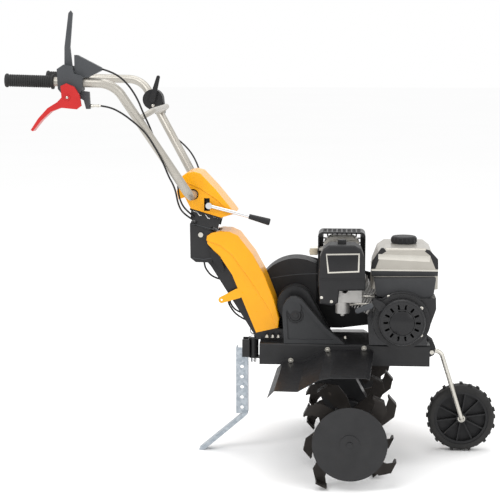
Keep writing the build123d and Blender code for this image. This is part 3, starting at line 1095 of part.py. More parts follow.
with BuildPart() as clutch_cable:
    cable([(-415.0, -261, 1104), (-381, -261, 1094), (-349, -258, 1067), (-324, -250, 1028), (-311, -232, 987),
           (-299, -193, 949), (-285, -171, 899), (-257, -152, 851), (-232, -133, 800), (-232, -112, 756),
           (-226, -86, 726), (-214, -66, 706), (-196, -50.5, 688)])
PIECES["clutch_cable"] = clutch_cable
with BuildPart() as reverse_cable:
    cable([(-420, -261, 1007), (-395, -262, 1004), (-363, -264, 988), (-336, -252, 966), (-307, -226, 936),
           (-284, -208, 895), (-265, -188, 853), (-251, -170, 810), (-242, -155, 790), (-236, -140, 767),
           (-234, -110, 730), (-224, -75, 699), (-200, -50.3, 680)])
    with BuildSketch(Plane.YZ.offset(-447.8)) as adjuster:
        with Locations((-261, 1007)):
            Circle(4.5)
    extrude(adjuster.sketch, amount=28.5)
PIECES["reverse_cable"] = reverse_cable
with BuildPart() as throttle_cable:
    cable([(-330, 231.5, 957), (-318, 235, 925), (-282, 228, 895), (-240, 200, 864), (-213, 165, 831),
           (-193, 118, 790), (-176, 98, 752), (-168, 84, 716), (-168, 68, 690), (-168, 49.1, 684)])
PIECES["throttle_cable"] = throttle_cable


def web_x(z):
    """The inside of the column's front wall at a height."""
    return -7 - 115 * (z - 368) / 205


with BuildPart() as lower_cables:
    cable([(-171, -20, 556.7), (-168, -20, 538), (-152, -20, 516), (-130, -20, 506),
           (web_x(503 + CABLE_RADIUS) - 0.3, -20, 503)])
    cable([(web_x(470 + CABLE_RADIUS) - 0.3, -10, 470), (-100, -10, 462), (-104, -10, 436), (-84, -10, 404),
           (-50, -10, 384), (web_x(386 + CABLE_RADIUS) - 0.3, -10, 386)])
    cable([(web_x(462 + CABLE_RADIUS) - 0.3, 15, 462), (-92, 15, 455), (-102, 15, 436), (-88, 15, 412),
           (-62, 15, 400), (web_x(402 + CABLE_RADIUS) - 0.3, 15, 402)])
PIECES["lower_cables"] = lower_cables

# ============================================================================================
# Fasteners
# ============================================================================================
with BuildPart() as fasteners:
    for side in (-1, 1):
        for x in COLUMN_BOLTS_X:
            y = side * COLUMN_BOLT_Y
            round_z(x, y, BOLT_RADIUS, CHASSIS_TOP - 12, CHASSIS_TOP + 6)
            round_z(x, y, 7, CHASSIS_TOP + 4.3 + RUN, CHASSIS_TOP + 9.5)
            round_z(x, y, 7, CHASSIS_TOP - 11, CHASSIS_TOP - CHASSIS_WALL - RUN)
        for x in ENGINE_BOLTS_X:
            y = side * ENGINE_BOLT_Y
            round_z(x, y, BOLT_RADIUS, CHASSIS_TOP - 12, ENGINE_BASE + 38)
            round_z(x, y, 7, CHASSIS_TOP - 11, CHASSIS_TOP - CHASSIS_WALL - RUN)
        for spot in GUARD_BOLTS:
            faces = (CHASSIS_HALF - CHASSIS_WALL - RUN, CHASSIS_HALF + GAP + GUARD_SHEET + RUN)
            for radius, near, far in ((GUARD_BOLT_RADIUS, faces[0] - 5, faces[1] + 3),
                                      (4.5, faces[0] - 4, faces[0]), (4.5, faces[1], faces[1] + 4)):
                low, high = sorted((side * near, side * far))
                round_y(spot, radius, low, high)
    round_y(WHEEL_PIVOT, PIVOT_BOLT_RADIUS, -EAR_OUT - 4, EAR_OUT + 6)
    round_y(WHEEL_PIVOT, 6, -EAR_OUT - 5, -EAR_OUT - RUN)
    round_y(WHEEL_PIVOT, 6, EAR_OUT + RUN, EAR_OUT + 5)
    for side in (-1, 1):
        for radius, near, far in ((BOLT_RADIUS, COLUMN_HALF - 9, HEAD_HALF + 4),
                                  (7, COLUMN_HALF - 8, COLUMN_HALF - SHEET - RUN),
                                  (7, HEAD_HALF + RUN, HEAD_HALF + 5)):
            low, high = sorted((side * near, side * far))
            round_y(HEAD_BOLT, radius, low, high)
    for radius, low, high in ((SWING_BOLT_RADIUS, -18, 13), (10, -17, -11.1), (11, GAP + PLATE_THICK + 0.2, 10)):
        with BuildSketch(HEAD_PLANE.offset(low)) as disc:
            Circle(radius)
        extrude(disc.sketch, amount=high - low)
PIECES["fasteners"] = fasteners

os.makedirs("parts", exist_ok=True)
for name, made in PIECES.items():
    made.part.label = name
    export_step(made.part, f"parts/{name}.step")
    print(name, len(made.part.solids()))
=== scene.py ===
"""Looks of the petrol tiller: finishes, moulded and pressed details, cables, camera and light. Metres."""

import json
from math import cos, pi, radians, sin

import bmesh
import bpy
from mathutils import Matrix, Vector
from mathutils.bvhtree import BVHTree


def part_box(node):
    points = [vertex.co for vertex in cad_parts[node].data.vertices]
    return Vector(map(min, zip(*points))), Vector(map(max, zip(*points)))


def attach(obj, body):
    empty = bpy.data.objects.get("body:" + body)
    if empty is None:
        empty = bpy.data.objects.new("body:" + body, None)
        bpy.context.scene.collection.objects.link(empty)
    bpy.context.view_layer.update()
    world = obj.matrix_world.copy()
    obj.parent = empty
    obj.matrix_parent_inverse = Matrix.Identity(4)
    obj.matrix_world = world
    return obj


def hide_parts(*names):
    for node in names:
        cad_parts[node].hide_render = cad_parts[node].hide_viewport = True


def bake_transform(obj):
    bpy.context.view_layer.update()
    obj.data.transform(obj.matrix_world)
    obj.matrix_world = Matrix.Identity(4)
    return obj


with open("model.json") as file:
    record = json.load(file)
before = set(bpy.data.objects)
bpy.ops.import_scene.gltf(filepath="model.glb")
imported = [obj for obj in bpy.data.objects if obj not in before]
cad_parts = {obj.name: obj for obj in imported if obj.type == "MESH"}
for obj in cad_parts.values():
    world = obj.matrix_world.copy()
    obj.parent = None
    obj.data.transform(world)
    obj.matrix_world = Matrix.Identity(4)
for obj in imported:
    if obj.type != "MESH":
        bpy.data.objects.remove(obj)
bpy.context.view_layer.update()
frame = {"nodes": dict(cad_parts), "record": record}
MM = 0.001


# ---- node helpers --------------------------------------------------------------------------
def new_material(name):
    """An empty node material with its shader and object coordinates."""
    made = bpy.data.materials.new(name)
    made.use_nodes = True
    tree = made.node_tree
    shader = tree.nodes["Principled BSDF"]
    coords = tree.nodes.new("ShaderNodeTexCoord")
    return made, tree, shader, coords.outputs["Object"]


def noise(tree, where, scale, detail=4.0, roughness=0.55, stretch=None):
    """A noise texture's value, in cycles per metre."""
    if stretch:
        mapping = tree.nodes.new("ShaderNodeMapping")
        mapping.inputs["Scale"].default_value = stretch
        tree.links.new(where, mapping.inputs["Vector"])
        where = mapping.outputs["Vector"]
    node = tree.nodes.new("ShaderNodeTexNoise")
    node.inputs["Scale"].default_value = scale
    node.inputs["Detail"].default_value = detail
    node.inputs["Roughness"].default_value = roughness
    tree.links.new(where, node.inputs["Vector"])
    return node.outputs["Fac"]


def remap(tree, value, low, high, from_low=0.3, from_high=0.7):
    """The value spread between two limits."""
    node = tree.nodes.new("ShaderNodeMapRange")
    node.inputs["From Min"].default_value = from_low
    node.inputs["From Max"].default_value = from_high
    node.inputs["To Min"].default_value = low
    node.inputs["To Max"].default_value = high
    tree.links.new(value, node.inputs["Value"])
    return node.outputs["Result"]


def blend_colours(tree, factor, first, second):
    """A mix of two colours."""
    node = tree.nodes.new("ShaderNodeMix")
    node.data_type = "RGBA"
    node.inputs["A"].default_value = (*first, 1)
    node.inputs["B"].default_value = (*second, 1)
    tree.links.new(factor, node.inputs["Factor"])
    return node.outputs["Result"]


def bump(tree, height, strength, distance, before=None):
    """Relief from a height value."""
    node = tree.nodes.new("ShaderNodeBump")
    node.inputs["Strength"].default_value = strength
    node.inputs["Distance"].default_value = distance
    tree.links.new(height, node.inputs["Height"])
    if before:
        tree.links.new(before, node.inputs["Normal"])
    return node.outputs["Normal"]


def surface(name, colour, other, metallic, rough, grain, relief, cloud=9.0, coat=0.0, brush=None, shine=0.25):
    """A finish with slow colour drift, uneven gloss and fine relief.

    colour and other are the two ends of the drift, rough the two ends of the roughness, grain the relief's
    cycles per metre, and relief its depth in metres. brush stretches the gloss into brushed lines.
    """
    made, tree, shader, where = new_material(name)
    drift = noise(tree, where, cloud, 5.0, 0.6)
    tone = blend_colours(tree, remap(tree, drift, 0.0, 1.0), colour, other)
    tree.links.new(tone, shader.inputs["Base Color"])
    streaks = noise(tree, where, 60.0, 6.0, 0.7, brush)
    tree.links.new(remap(tree, streaks, *rough), shader.inputs["Roughness"])
    shader.inputs["Metallic"].default_value = metallic
    shader.inputs["Specular IOR Level"].default_value = shine
    shader.inputs["Coat Weight"].default_value = coat
    shader.inputs["Coat Roughness"].default_value = 0.12
    fine = noise(tree, where, grain, 3.0, 0.5)
    tree.links.new(bump(tree, fine, 0.35, relief), shader.inputs["Normal"])
    return made


def spangled(name):
    """Hot-dip galvanising: pale blue-grey crystals of slightly different tone."""
    made, tree, shader, where = new_material(name)
    cells = tree.nodes.new("ShaderNodeTexVoronoi")
    cells.inputs["Scale"].default_value = 150.0
    tree.links.new(where, cells.inputs["Vector"])
    split = tree.nodes.new("ShaderNodeSeparateColor")
    tree.links.new(cells.outputs["Color"], split.inputs["Color"])
    tone = blend_colours(tree, split.outputs["Red"], (0.30, 0.34, 0.38), (0.44, 0.48, 0.52))
    tree.links.new(tone, shader.inputs["Base Color"])
    tree.links.new(remap(tree, split.outputs["Green"], 0.36, 0.55, 0.0, 1.0), shader.inputs["Roughness"])
    shader.inputs["Metallic"].default_value = 0.75
    tree.links.new(bump(tree, cells.outputs["Distance"], 0.15, 0.0004), shader.inputs["Normal"])
    return made


def soiled_steel(name, paint, bare):
    """Dark paint worn through to bare steel in patches."""
    made, tree, shader, where = new_material(name)
    patches = noise(tree, where, 34.0, 8.0, 0.7)
    wear = remap(tree, patches, 0.0, 1.0, 0.60, 0.72)
    tree.links.new(blend_colours(tree, wear, paint, bare), shader.inputs["Base Color"])
    tree.links.new(remap(tree, patches, 0.38, 0.6), shader.inputs["Roughness"])
    shader.inputs["Metallic"].default_value = 0.55
    fine = noise(tree, where, 420.0, 4.0, 0.6)
    tree.links.new(bump(tree, fine, 0.5, 0.0006), shader.inputs["Normal"])
    return made


CLEANER_FACE = -0.190    # near face of the air cleaner
OUTSIDE = 2.0            # further across than any piece
NEAR = (0, -1, 0)        # towards the machine's right-hand side
SMOOTH_BELOW = 38        # degrees between faces that shade as one
SCREW_SMALL, SCREW_ENGINE = 0.0042, 0.0048
GUARD_NUT, STUD_NUT, AXLE_NUT = 0.010, 0.009, 0.013
GUARD_NUT_Y = 0.0985
RIB_COUNT, RIB_START, RIB_PITCH = 19, 0.0125, 0.0058
GRIP_END_X, GRIP_END_Z = -0.676, 1.0741
GRIP_Y = 0.26
RECOIL_CENTRE = (0.387, 0.420)
BEARING_CAP = (0.093, 0.415)

FINISH = {
    "body_yellow": surface("yellow_gloss", (0.84, 0.37, 0.001), (0.76, 0.32, 0.001), 0.0, (0.26, 0.36),
                           700, 0.0001, coat=0.25),
    "frame_black": surface("black_paint", (0.011, 0.011, 0.012), (0.020, 0.020, 0.021), 0.0, (0.30, 0.46),
                           520, 0.0003, coat=0.1),
    "tine_steel": soiled_steel("tine_paint", (0.016, 0.013, 0.011), (0.075, 0.062, 0.052)),
    "tube_grey": surface("tube_silver_paint", (0.36, 0.34, 0.30), (0.42, 0.40, 0.36), 0.55, (0.30, 0.42),
                         900, 0.0001, coat=0.15),
    "steel": surface("zinc_plate", (0.52, 0.50, 0.45), (0.60, 0.58, 0.53), 1.0, (0.22, 0.42), 300, 0.0001,
                     brush=(1, 1, 12)),
    "galvanised": spangled("galvanised"),
    "chrome": surface("polished_chrome", (0.66, 0.66, 0.67), (0.72, 0.72, 0.72), 1.0, (0.07, 0.16),
                      200, 0.00005),
    "cast_dark": surface("dark_casting", (0.030, 0.031, 0.033), (0.045, 0.046, 0.048), 0.2, (0.42, 0.58), 380,
                         0.0007),
    "alloy": surface("cast_alloy", (0.38, 0.37, 0.36), (0.50, 0.49, 0.47), 0.85, (0.38, 0.56), 450, 0.0006),
    "alloy_dark": surface("dark_alloy", (0.035, 0.036, 0.038), (0.06, 0.06, 0.062), 0.4, (0.40, 0.55), 420,
                          0.0006),
    "plastic_black": surface("black_plastic", (0.012, 0.012, 0.013), (0.019, 0.019, 0.020), 0.0, (0.42, 0.56),
                             1400, 0.0003),
    "plastic_grey": surface("grey_plastic", (0.045, 0.048, 0.052), (0.060, 0.063, 0.068), 0.0, (0.40, 0.54),
                            1400, 0.0003),
    "red": surface("red_plastic", (0.42, 0.012, 0.012), (0.50, 0.020, 0.018), 0.0, (0.28, 0.40), 900, 0.0001,
                   coat=0.2),
    "rubber": surface("black_rubber", (0.014, 0.014, 0.014), (0.024, 0.024, 0.024), 0.0, (0.55, 0.72), 1600,
                      0.0003),
    "tyre": surface("tyre_rubber", (0.016, 0.016, 0.016), (0.030, 0.029, 0.028), 0.0, (0.62, 0.80), 900,
                    0.0006),
    "cable_black": surface("cable_sheath", (0.010, 0.010, 0.010), (0.018, 0.018, 0.018), 0.0, (0.35, 0.48),
                           900,
                           0.0001),
    "bearing": surface("ground_steel", (0.50, 0.49, 0.47), (0.58, 0.57, 0.55), 1.0, (0.18, 0.34), 300, 0.0001,
                       brush=(1, 14, 1)),
}
DEFLECTOR = surface("heat_tinted_steel", (0.42, 0.36, 0.27), (0.55, 0.49, 0.38), 0.9, (0.30, 0.50), 300,
                    0.0002)
LABEL_BLACK = surface("label_film", (0.010, 0.010, 0.011), (0.014, 0.014, 0.015), 0.0, (0.16, 0.24), 500,
                      0.00005)
MARK_WHITE = surface("white_marks", (0.70, 0.70, 0.68), (0.78, 0.78, 0.76), 0.0, (0.40, 0.52), 700, 0.0001)

SLOT_OF = {part["node"]: part["material_slot"] for part in frame["record"]["subparts"]}
for node, made in frame["nodes"].items():
    made.data.materials.clear()
    made.data.materials.append(FINISH[SLOT_OF[node]])


# ---- mesh helpers --------------------------------------------------------------------------
def place(name, mesh, body, slot=None, finish=None, smooth=True):
    """Puts a finished mesh in the scene on its body."""
    piece = bpy.data.objects.new(name, mesh)
    bpy.context.scene.collection.objects.link(piece)
    mesh.materials.clear()
    mesh.materials.append(finish or FINISH[slot])
    if smooth:
        mesh.shade_smooth()
        mesh.set_sharp_from_angle(angle=radians(SMOOTH_BELOW))
    if body:
        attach(piece, body)
    return piece


def frame_along(origin, direction):
    """A matrix whose Z lies along a direction, at an origin."""
    turn = Vector(direction).to_track_quat("Z", "Y").to_matrix().to_4x4()
    return Matrix.Translation(Vector(origin)) @ turn


def lathe(profile, origin, direction, sides=48):
    """A turned piece: (reach, radius) pairs along a direction."""
    shape = bmesh.new()
    rings = []
    for reach, radius in profile:
        ring = [shape.verts.new((radius * cos(2 * pi * i / sides), radius * sin(2 * pi * i / sides), reach))
                for i in range(sides)]
        rings.append(ring)
    for low, high in zip(rings, rings[1:]):
        for i in range(sides):
            shape.faces.new((low[i], low[(i + 1) % sides], high[(i + 1) % sides], high[i]))
    shape.faces.new(reversed(rings[0]))
    shape.faces.new(rings[-1])
    shape.transform(frame_along(origin, direction))
    return shape


def as_mesh(shape, name):
    """Closes a bmesh into a mesh."""
    bmesh.ops.recalc_face_normals(shape, faces=shape.faces)
    mesh = bpy.data.meshes.new(name)
    shape.to_mesh(mesh)
    shape.free()
    return mesh


def join_shapes(shapes, name):
    """Several bmeshes as one mesh."""
    whole = bmesh.new()
    for shape in shapes:
        part = bpy.data.meshes.new("part")
        shape.to_mesh(part)
        shape.free()
        whole.from_mesh(part)
        bpy.data.meshes.remove(part)
    return as_mesh(whole, name)


def prism(outline, y_low, y_high, bevel=0.0):
    """A side outline in X and Z, between two widths, with softened edges."""
    shape = bmesh.new()
    near = [shape.verts.new((x, y_low, z)) for x, z in outline]
    far = [shape.verts.new((x, y_high, z)) for x, z in outline]
    count = len(outline)
    shape.faces.new(near)
    shape.faces.new(reversed(far))
    for i in range(count):
        shape.faces.new((near[i], far[i], far[(i + 1) % count], near[(i + 1) % count]))
    bmesh.ops.recalc_face_normals(shape, faces=shape.faces)
    if bevel:
        bmesh.ops.bevel(shape, geom=shape.edges[:], offset=bevel, segments=2, profile=0.7, affect="EDGES",
                        clamp_overlap=True)
    return shape


def hex_bolt(origin, direction, across, height):
    """A hexagon head with a chamfered crown on a washer."""
    radius = across / 2 / cos(pi / 6)
    washer = lathe([(0, radius * 1.25), (0.0008, radius * 1.25)], origin, direction, 32)
    start = Vector(origin) + Vector(direction).normalized() * 0.0008
    head = lathe([(0, radius), (height * 0.8, radius), (height, radius * 0.82)], start, direction, 6)
    return [washer, head]


def tube_along(name, points, radius, sides=10):
    """A round cable's mesh along the smooth line that a route's points guide."""
    curve = bpy.data.curves.new(name + "_line", "CURVE")
    curve.dimensions = "3D"
    spline = curve.splines.new("NURBS")
    spline.points.add(len(points) - 1)
    for point, where in zip(spline.points, points):
        point.co = (*where, 1)
    spline.order_u = 3
    spline.use_endpoint_u = True
    spline.resolution_u = 12
    curve.bevel_depth = radius
    curve.bevel_resolution = 3
    curve.use_fill_caps = True
    carrier = bpy.data.objects.new(name + "_carrier", curve)
    bpy.context.scene.collection.objects.link(carrier)
    bpy.context.view_layer.update()
    seen = carrier.evaluated_get(bpy.context.evaluated_depsgraph_get())
    mesh = bpy.data.meshes.new_from_object(seen)
    bpy.data.objects.remove(carrier)
    mesh.name = name
    return mesh


# ---- grips ---------------------------------------------------------------------------------
def grips():
    """Ribbed rubber grips with a flared end and an inner flange."""
    slope = Vector((0.287, 0, -0.008)).normalized()
    shapes = []
    for side in (-1, 1):
        end = Vector((GRIP_END_X, side * GRIP_Y, GRIP_END_Z))
        profile = [(0, 0.011), (0.0012, 0.0165), (0.004, 0.0185), (0.0075, 0.0183), (0.010, 0.0160)]
        for i in range(RIB_COUNT):
            at = RIB_START + i * RIB_PITCH
            profile += [(at, 0.0150), (at + 0.0008, 0.0165), (at + 0.0034, 0.0165), (at + 0.0042, 0.0150)]
        profile += [(0.1245, 0.0158), (0.1262, 0.0198), (0.1305, 0.0200), (0.1318, 0.0190), (0.132, 0.0127)]
        shapes.append(lathe(profile, end, slope, 56))
    piece = place("ribbed_grips", join_shapes(shapes, "ribbed_grips"), "handlebar", "rubber")
    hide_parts("grips")


# ---- cables --------------------------------------------------------------------------------
CLUTCH_ROUTE = [(-415.0, -261, 1104), (-381, -261, 1094), (-349, -258, 1067), (-324, -250, 1028),
                (-311, -232, 987), (-299, -193, 949), (-285, -171, 899), (-257, -152, 851),
                (-232, -133, 800), (-232, -112, 756), (-226, -86, 726), (-214, -66, 706), (-196, -50.5, 688)]
REVERSE_ROUTE = [(-420, -261, 1007), (-395, -262, 1004), (-363, -264, 988), (-336, -252, 966),
                 (-307, -226, 936), (-284, -208, 895), (-265, -188, 853), (-251, -170, 810),
                 (-242, -155, 790), (-236, -140, 767), (-234, -110, 730), (-224, -75, 699),
                 (-200, -50.3, 680)]
THROTTLE_ROUTE = [(-330, 231.5, 957), (-318, 235, 925), (-282, 228, 895), (-240, 200, 864),
                  (-213, 165, 831), (-193, 118, 790), (-176, 98, 752), (-168, 84, 716), (-168, 68, 690),
                  (-168, 49.1, 684)]
CABLE_RADIUS = 0.0025


def cables():
    """The three held cables as fixed sheaths along their routes, and a cable adjuster on the handlebar."""
    adjuster = lathe([(0, 0.0040), (0.001, 0.0045), (0.008, 0.0045), (0.0085, 0.0034), (0.018, 0.0034),
                      (0.0185, 0.0042), (0.0225, 0.0042), (0.023, 0.0030), (0.028, 0.0030)],
                     (-0.4478, -0.261, 1.007), (1, 0, 0), 20)
    place("cable_adjuster", as_mesh(adjuster, "cable_adjuster"), "handlebar", "steel")
    for node, route in (("clutch_cable", CLUTCH_ROUTE), ("reverse_cable", REVERSE_ROUTE),
                        ("throttle_cable", THROTTLE_ROUTE)):
        points = [Vector(point) * MM for point in route]
        name = node + "_sheath"
        piece = place(name, tube_along(name, points, CABLE_RADIUS), None, "cable_black")
        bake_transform(piece)
        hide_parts(node)


# ---- fixings and details -------------------------------------------------------------------
def surface_tree(node):
    """A search tree of one CAD piece's faces."""
    return BVHTree.FromPolygons([corner.co for corner in frame["nodes"][node].data.vertices],
                                [face.vertices[:] for face in frame["nodes"][node].data.polygons])


def seat(node, x, z, side=-1):
    """The point and normal where a line across the machine meets a piece from one side."""
    start = Vector((x, side * OUTSIDE, z))
    return surface_tree(node).ray_cast(start, Vector((0, -side, 0)))[:2]


def screw(spot, normal, radius):
    """A slotted pan head screw."""
    height = radius * 0.55
    head = lathe([(-0.0005, radius), (height * 0.55, radius), (height * 0.9, radius * 0.8),
                  (height, radius * 0.55)], spot, normal, 24)
    slot_width, slot_reach = radius * 0.16, radius * 0.85
    bar = bmesh.new()
    bmesh.ops.create_cube(bar, size=1.0)
    bar.transform(frame_along(spot, normal) @ Matrix.Translation((0, 0, height * 0.9))
                  @ Matrix.Diagonal((slot_reach * 2, slot_width * 2, height * 0.3, 1)))
    return [head, bar]


def washer_nut(spot, normal, across):
    """A hexagon nut on a washer with the stud's end showing."""
    end = [(0, across * 0.27), (across * 0.85, across * 0.27), (across * 0.9, across * 0.2)]
    stud = lathe(end, spot, normal, 20)
    return [*hex_bolt(spot, normal, across, across * 0.6), stud]


def band(points, width, y_low, y_high):
    """A narrow strip that follows a line of points in X and Z."""
    upper, lower = [], []
    for i, (x, z) in enumerate(points):
        before, after = points[max(i - 1, 0)], points[min(i + 1, len(points) - 1)]
        along = Vector((after[0] - before[0], after[1] - before[1])).normalized()
        upper.append((x - along.y * width / 2, z + along.x * width / 2))
        lower.append((x + along.y * width / 2, z - along.x * width / 2))
    return prism(upper + lower[::-1], y_low, y_high)


def put(name, shapes, body, slot=None, finish=None):
    """Several shapes as one piece on a body."""
    return place(name, join_shapes(shapes, name), body, slot, finish)


def engine_details():
    """The air cleaner's panel, screws, the tank's frame and strip, cap ribs, louvres and deflector."""
    face = CLEANER_FACE
    rim = [(0.179, 0.606), (0.271, 0.608), (0.270, 0.556), (0.184, 0.552)]
    panel = [(0.182, 0.602), (0.267, 0.604), (0.266, 0.560), (0.188, 0.556)]
    put("air_cleaner_rim", [prism(rim, face - 0.0012, face + 0.002, 0.0006)], "frame_body", "steel")
    put("air_cleaner_panel", [prism(panel, face - 0.0016, face, 0.0004)], "frame_body", finish=LABEL_BLACK)
    put("air_cleaner_step", [prism([(0.161, 0.533), (0.286, 0.533), (0.286, 0.537), (0.161, 0.537)],
                                   face - 0.0010, face + 0.006, 0.0004)], "frame_body", "plastic_black")
    heads = []
    for x, z in ((0.168, 0.485), (0.195, 0.474)):
        heads += screw(Vector((x, face, z)), Vector(NEAR), SCREW_SMALL)
    for node, x, z in (("blower_housing", 0.351, 0.486), ("recoil_cover", 0.440, 0.458),
                       ("recoil_cover", 0.318, 0.458),
                       ("recoil_cover", 0.318, 0.383), ("recoil_cover", 0.440, 0.383)):
        spot, normal = seat(node, x, z)
        if spot:
            heads += screw(spot, normal, SCREW_ENGINE)
    put("engine_screws", heads, "frame_body", "steel")

    low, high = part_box("fuel_tank")
    front = low.y
    frame_outline = [(0.303, 0.557), (0.304, 0.575), (0.330, 0.614), (0.337, 0.614), (0.350, 0.600),
                     (0.442, 0.600),
                     (0.454, 0.611), (0.463, 0.609), (0.486, 0.584), (0.487, 0.557)]
    tank_front = prism(frame_outline, front + 0.0002, front + 0.010, 0.0012)
    put("tank_frame", [tank_front], "frame_body", "plastic_black")
    put("tank_strip", [prism([(0.322, 0.583), (0.463, 0.577), (0.465, 0.594), (0.322, 0.598)], front - 0.0006,
                             front + 0.001, 0.0004)], "frame_body", "steel")
    put("tank_seam", [prism([(0.3035, 0.551), (0.4865, 0.551), (0.4865, 0.556), (0.3035, 0.556)],
                            front - 0.0016, front + 0.150, 0.0005)], "frame_body", "steel")
    put("tank_skirt", [prism([(0.304, 0.536), (0.486, 0.538), (0.4868, 0.551), (0.3035, 0.551)],
                             front - 0.0008, front + 0.060, 0.0010),
                       prism([(0.318, 0.484), (0.452, 0.474), (0.474, 0.490), (0.480, 0.536), (0.310, 0.534)],
                             front - 0.030, front + 0.020, 0.0040)], "frame_body", "cast_dark")

    low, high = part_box("fuel_cap")
    centre = Vector(((low.x + high.x) / 2, (low.y + high.y) / 2, 0))
    ribs = []
    for i in range(18):
        turn = 2 * pi * i / 18
        where = centre + Vector((cos(turn), sin(turn), 0)) * ((high.x - low.x) / 2 - 0.0008)
        where.z = low.z + 0.003
        ribs.append(lathe([(0, 0.0024), (0.011, 0.0024), (0.0125, 0.0012)], where, (0, 0, 1), 10))
    put("cap_ribs", ribs, "fuel_cap_body", "plastic_black")

    axis = Vector((RECOIL_CENTRE[0], 0, RECOIL_CENTRE[1]))
    fins, spot = [], seat("recoil_cover", axis.x, axis.z)[0]
    for count, reach, length in ((44, 0.0700, 0.0080), (32, 0.0470, 0.0075)):
        for i in range(count):
            turn = 2 * pi * (i + 0.5) / count
            out = Vector((cos(turn), 0, sin(turn)))
            centre = axis + out * reach
            base = seat("recoil_cover", centre.x, centre.z)[0]
            if not base or base.y > spot.y + 0.024:
                continue
            bar = bmesh.new()
            bmesh.ops.create_cube(bar, size=1.0)
            bar.transform(Matrix.Translation((centre.x, base.y, centre.z)) @ Matrix.Rotation(-turn, 4, "Y")
                          @ Matrix.Diagonal((length, 0.003, 0.0030, 1)))
            fins.append(bar)
    for radius in (0.0360, 0.0600):
        fins.append(ring_shape(axis, spot.y, radius))
    put("recoil_fins", fins, "frame_body", "frame_black")
    spot = Vector((axis.x, spot.y - 0.0014, axis.z))
    put("recoil_disc", [lathe([(0, 0.0330), (0.0006, 0.0330), (0.0012, 0.0322)], spot, NEAR, 72)],
        "frame_body", finish=LABEL_BLACK)
    hood = [(0.128, 0.562), (0.126, 0.574), (0.131, 0.581), (0.151, 0.582), (0.151, 0.562)]
    put("exhaust_deflector", [prism(hood, 0.084, 0.108, 0.003)], "frame_body", finish=DEFLECTOR)


def ring_shape(axis, y, radius):
    """A low raised ring around an axis across the machine."""
    return lathe_ring([(radius - 0.0016, 0.0004), (radius - 0.0012, 0.0016), (radius + 0.0012, 0.0016),
                       (radius + 0.0016, 0.0004)], (axis.x, y, axis.z), NEAR)


def lathe_ring(profile, origin, direction, sides=72):
    """A closed ring: (radius, reach) points of its section turned about a direction."""
    shape = bmesh.new()
    loops = [[shape.verts.new((radius * cos(2 * pi * i / sides), radius * sin(2 * pi * i / sides), reach))
              for i in range(sides)] for radius, reach in profile]
    for low, high in zip(loops, loops[1:] + loops[:1]):
        for i in range(sides):
            shape.faces.new((low[i], low[(i + 1) % sides], high[(i + 1) % sides], high[i]))
    shape.transform(frame_along(origin, direction))
    return shape


def frame_details():
    """Rims, caps and fixings of the frame's covers, guards and brackets."""
    cap = seat("bearing_bracket", *BEARING_CAP)[0]
    rim = [(0.0200, 0.0), (0.0206, 0.0014), (0.0222, 0.0014), (0.0228, 0.0)]
    put("bearing_rim", [lathe_ring(rim, cap, NEAR),
                        lathe([(0, 0.0165), (0.0022, 0.0165), (0.0042, 0.0145)], cap, NEAR, 56),
                        lathe([(0.003, 0.0085), (0.0055, 0.0085), (0.0062, 0.0078)], cap, NEAR, 40)],
        "frame_body", "frame_black")
    edge = [(0.064, 0.345), (0.060, 0.415), (0.066, 0.440), (0.082, 0.455), (0.100, 0.457), (0.118, 0.449),
            (0.132, 0.434), (0.205, 0.345)]
    ridge = seat("bearing_bracket", 0.095, 0.36)[0]
    put("bracket_ridge", [band(edge, 0.0028, ridge.y - 0.0012, ridge.y + 0.001)], "frame_body", "frame_black")
    rear = [(-0.004, 0.491), (0.020, 0.497), (0.048, 0.502), (0.075, 0.506), (0.103, 0.509), (0.151, 0.511)]
    face = seat("rear_cover", 0.075, 0.500)[0]
    bead = band(rear, 0.0022, face.y - 0.0012, face.y + 0.001)
    put("rear_cover_bead", [bead], "frame_body", "plastic_grey")
    for side in (-1, 1):
        nuts = []
        for x, z in ((0.184, 0.3212), (0.286, 0.3263), (0.081, 0.2883)):
            nuts += washer_nut(Vector((x, side * GUARD_NUT_Y, z)), Vector((0, side, 0)), GUARD_NUT)
        put(f"guard_nuts_{side}", nuts, "frame_body", "steel")
    studs = []
    for x, z in ((0.012, 0.352), (0.028, 0.352), (0.044, 0.352), (0.233, 0.352)):
        studs += washer_nut(Vector((x, -0.06, z - 0.006)), Vector((0, 0, 1)), STUD_NUT)
    put("deck_studs", studs, "frame_body", "steel")


def wheel_details():
    """The wheel's axle washer and nut."""
    low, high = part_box("wheel_rim")
    hub = Vector(((low.x + high.x) / 2, low.y - 0.004, (low.z + high.z) / 2))
    put("axle_end", [lathe([(0, 0.0105), (0.0014, 0.0105)], hub, NEAR, 32),
                     *washer_nut(hub - Vector((0, 0.0014, 0)), Vector(NEAR), AXLE_NUT)],
        "wheel_arm", "steel")


def handle_details():
    """Screw heads on the handlebar, and the reverse lever's pin and boss."""
    heads = []
    for node, x, z, radius, side in (("lever_housing", -0.508, 1.055, 0.006, -1),
                                     ("lever_housing", -0.440, 1.030, 0.004, -1),
                                     ("throttle_housing", -0.345, 0.990, 0.0045, -1),
                                     ("handle_brace", -0.318, 0.972, 0.006, -1)):
        spot = seat(node, x, z, side)[0]
        if spot:
            heads += screw(spot, Vector((0, side, 0)), radius)
    put("handle_screws", heads, "handlebar", "steel")
    spot = seat("reverse_lever", -0.503, 1.030, -1)[0]
    if spot:
        pin = [(-0.001, 0.0032), (0.0012, 0.0032), (0.0018, 0.0022)]
        boss = [(0.0048, -0.001), (0.0054, 0.0016), (0.0082, 0.0016), (0.0090, -0.001)]
        put("reverse_pin", [lathe(pin, spot, NEAR, 20)], "reverse_lever_body", "steel")
        put("reverse_boss", [lathe_ring(boss, spot, NEAR)], "reverse_lever_body", "red")


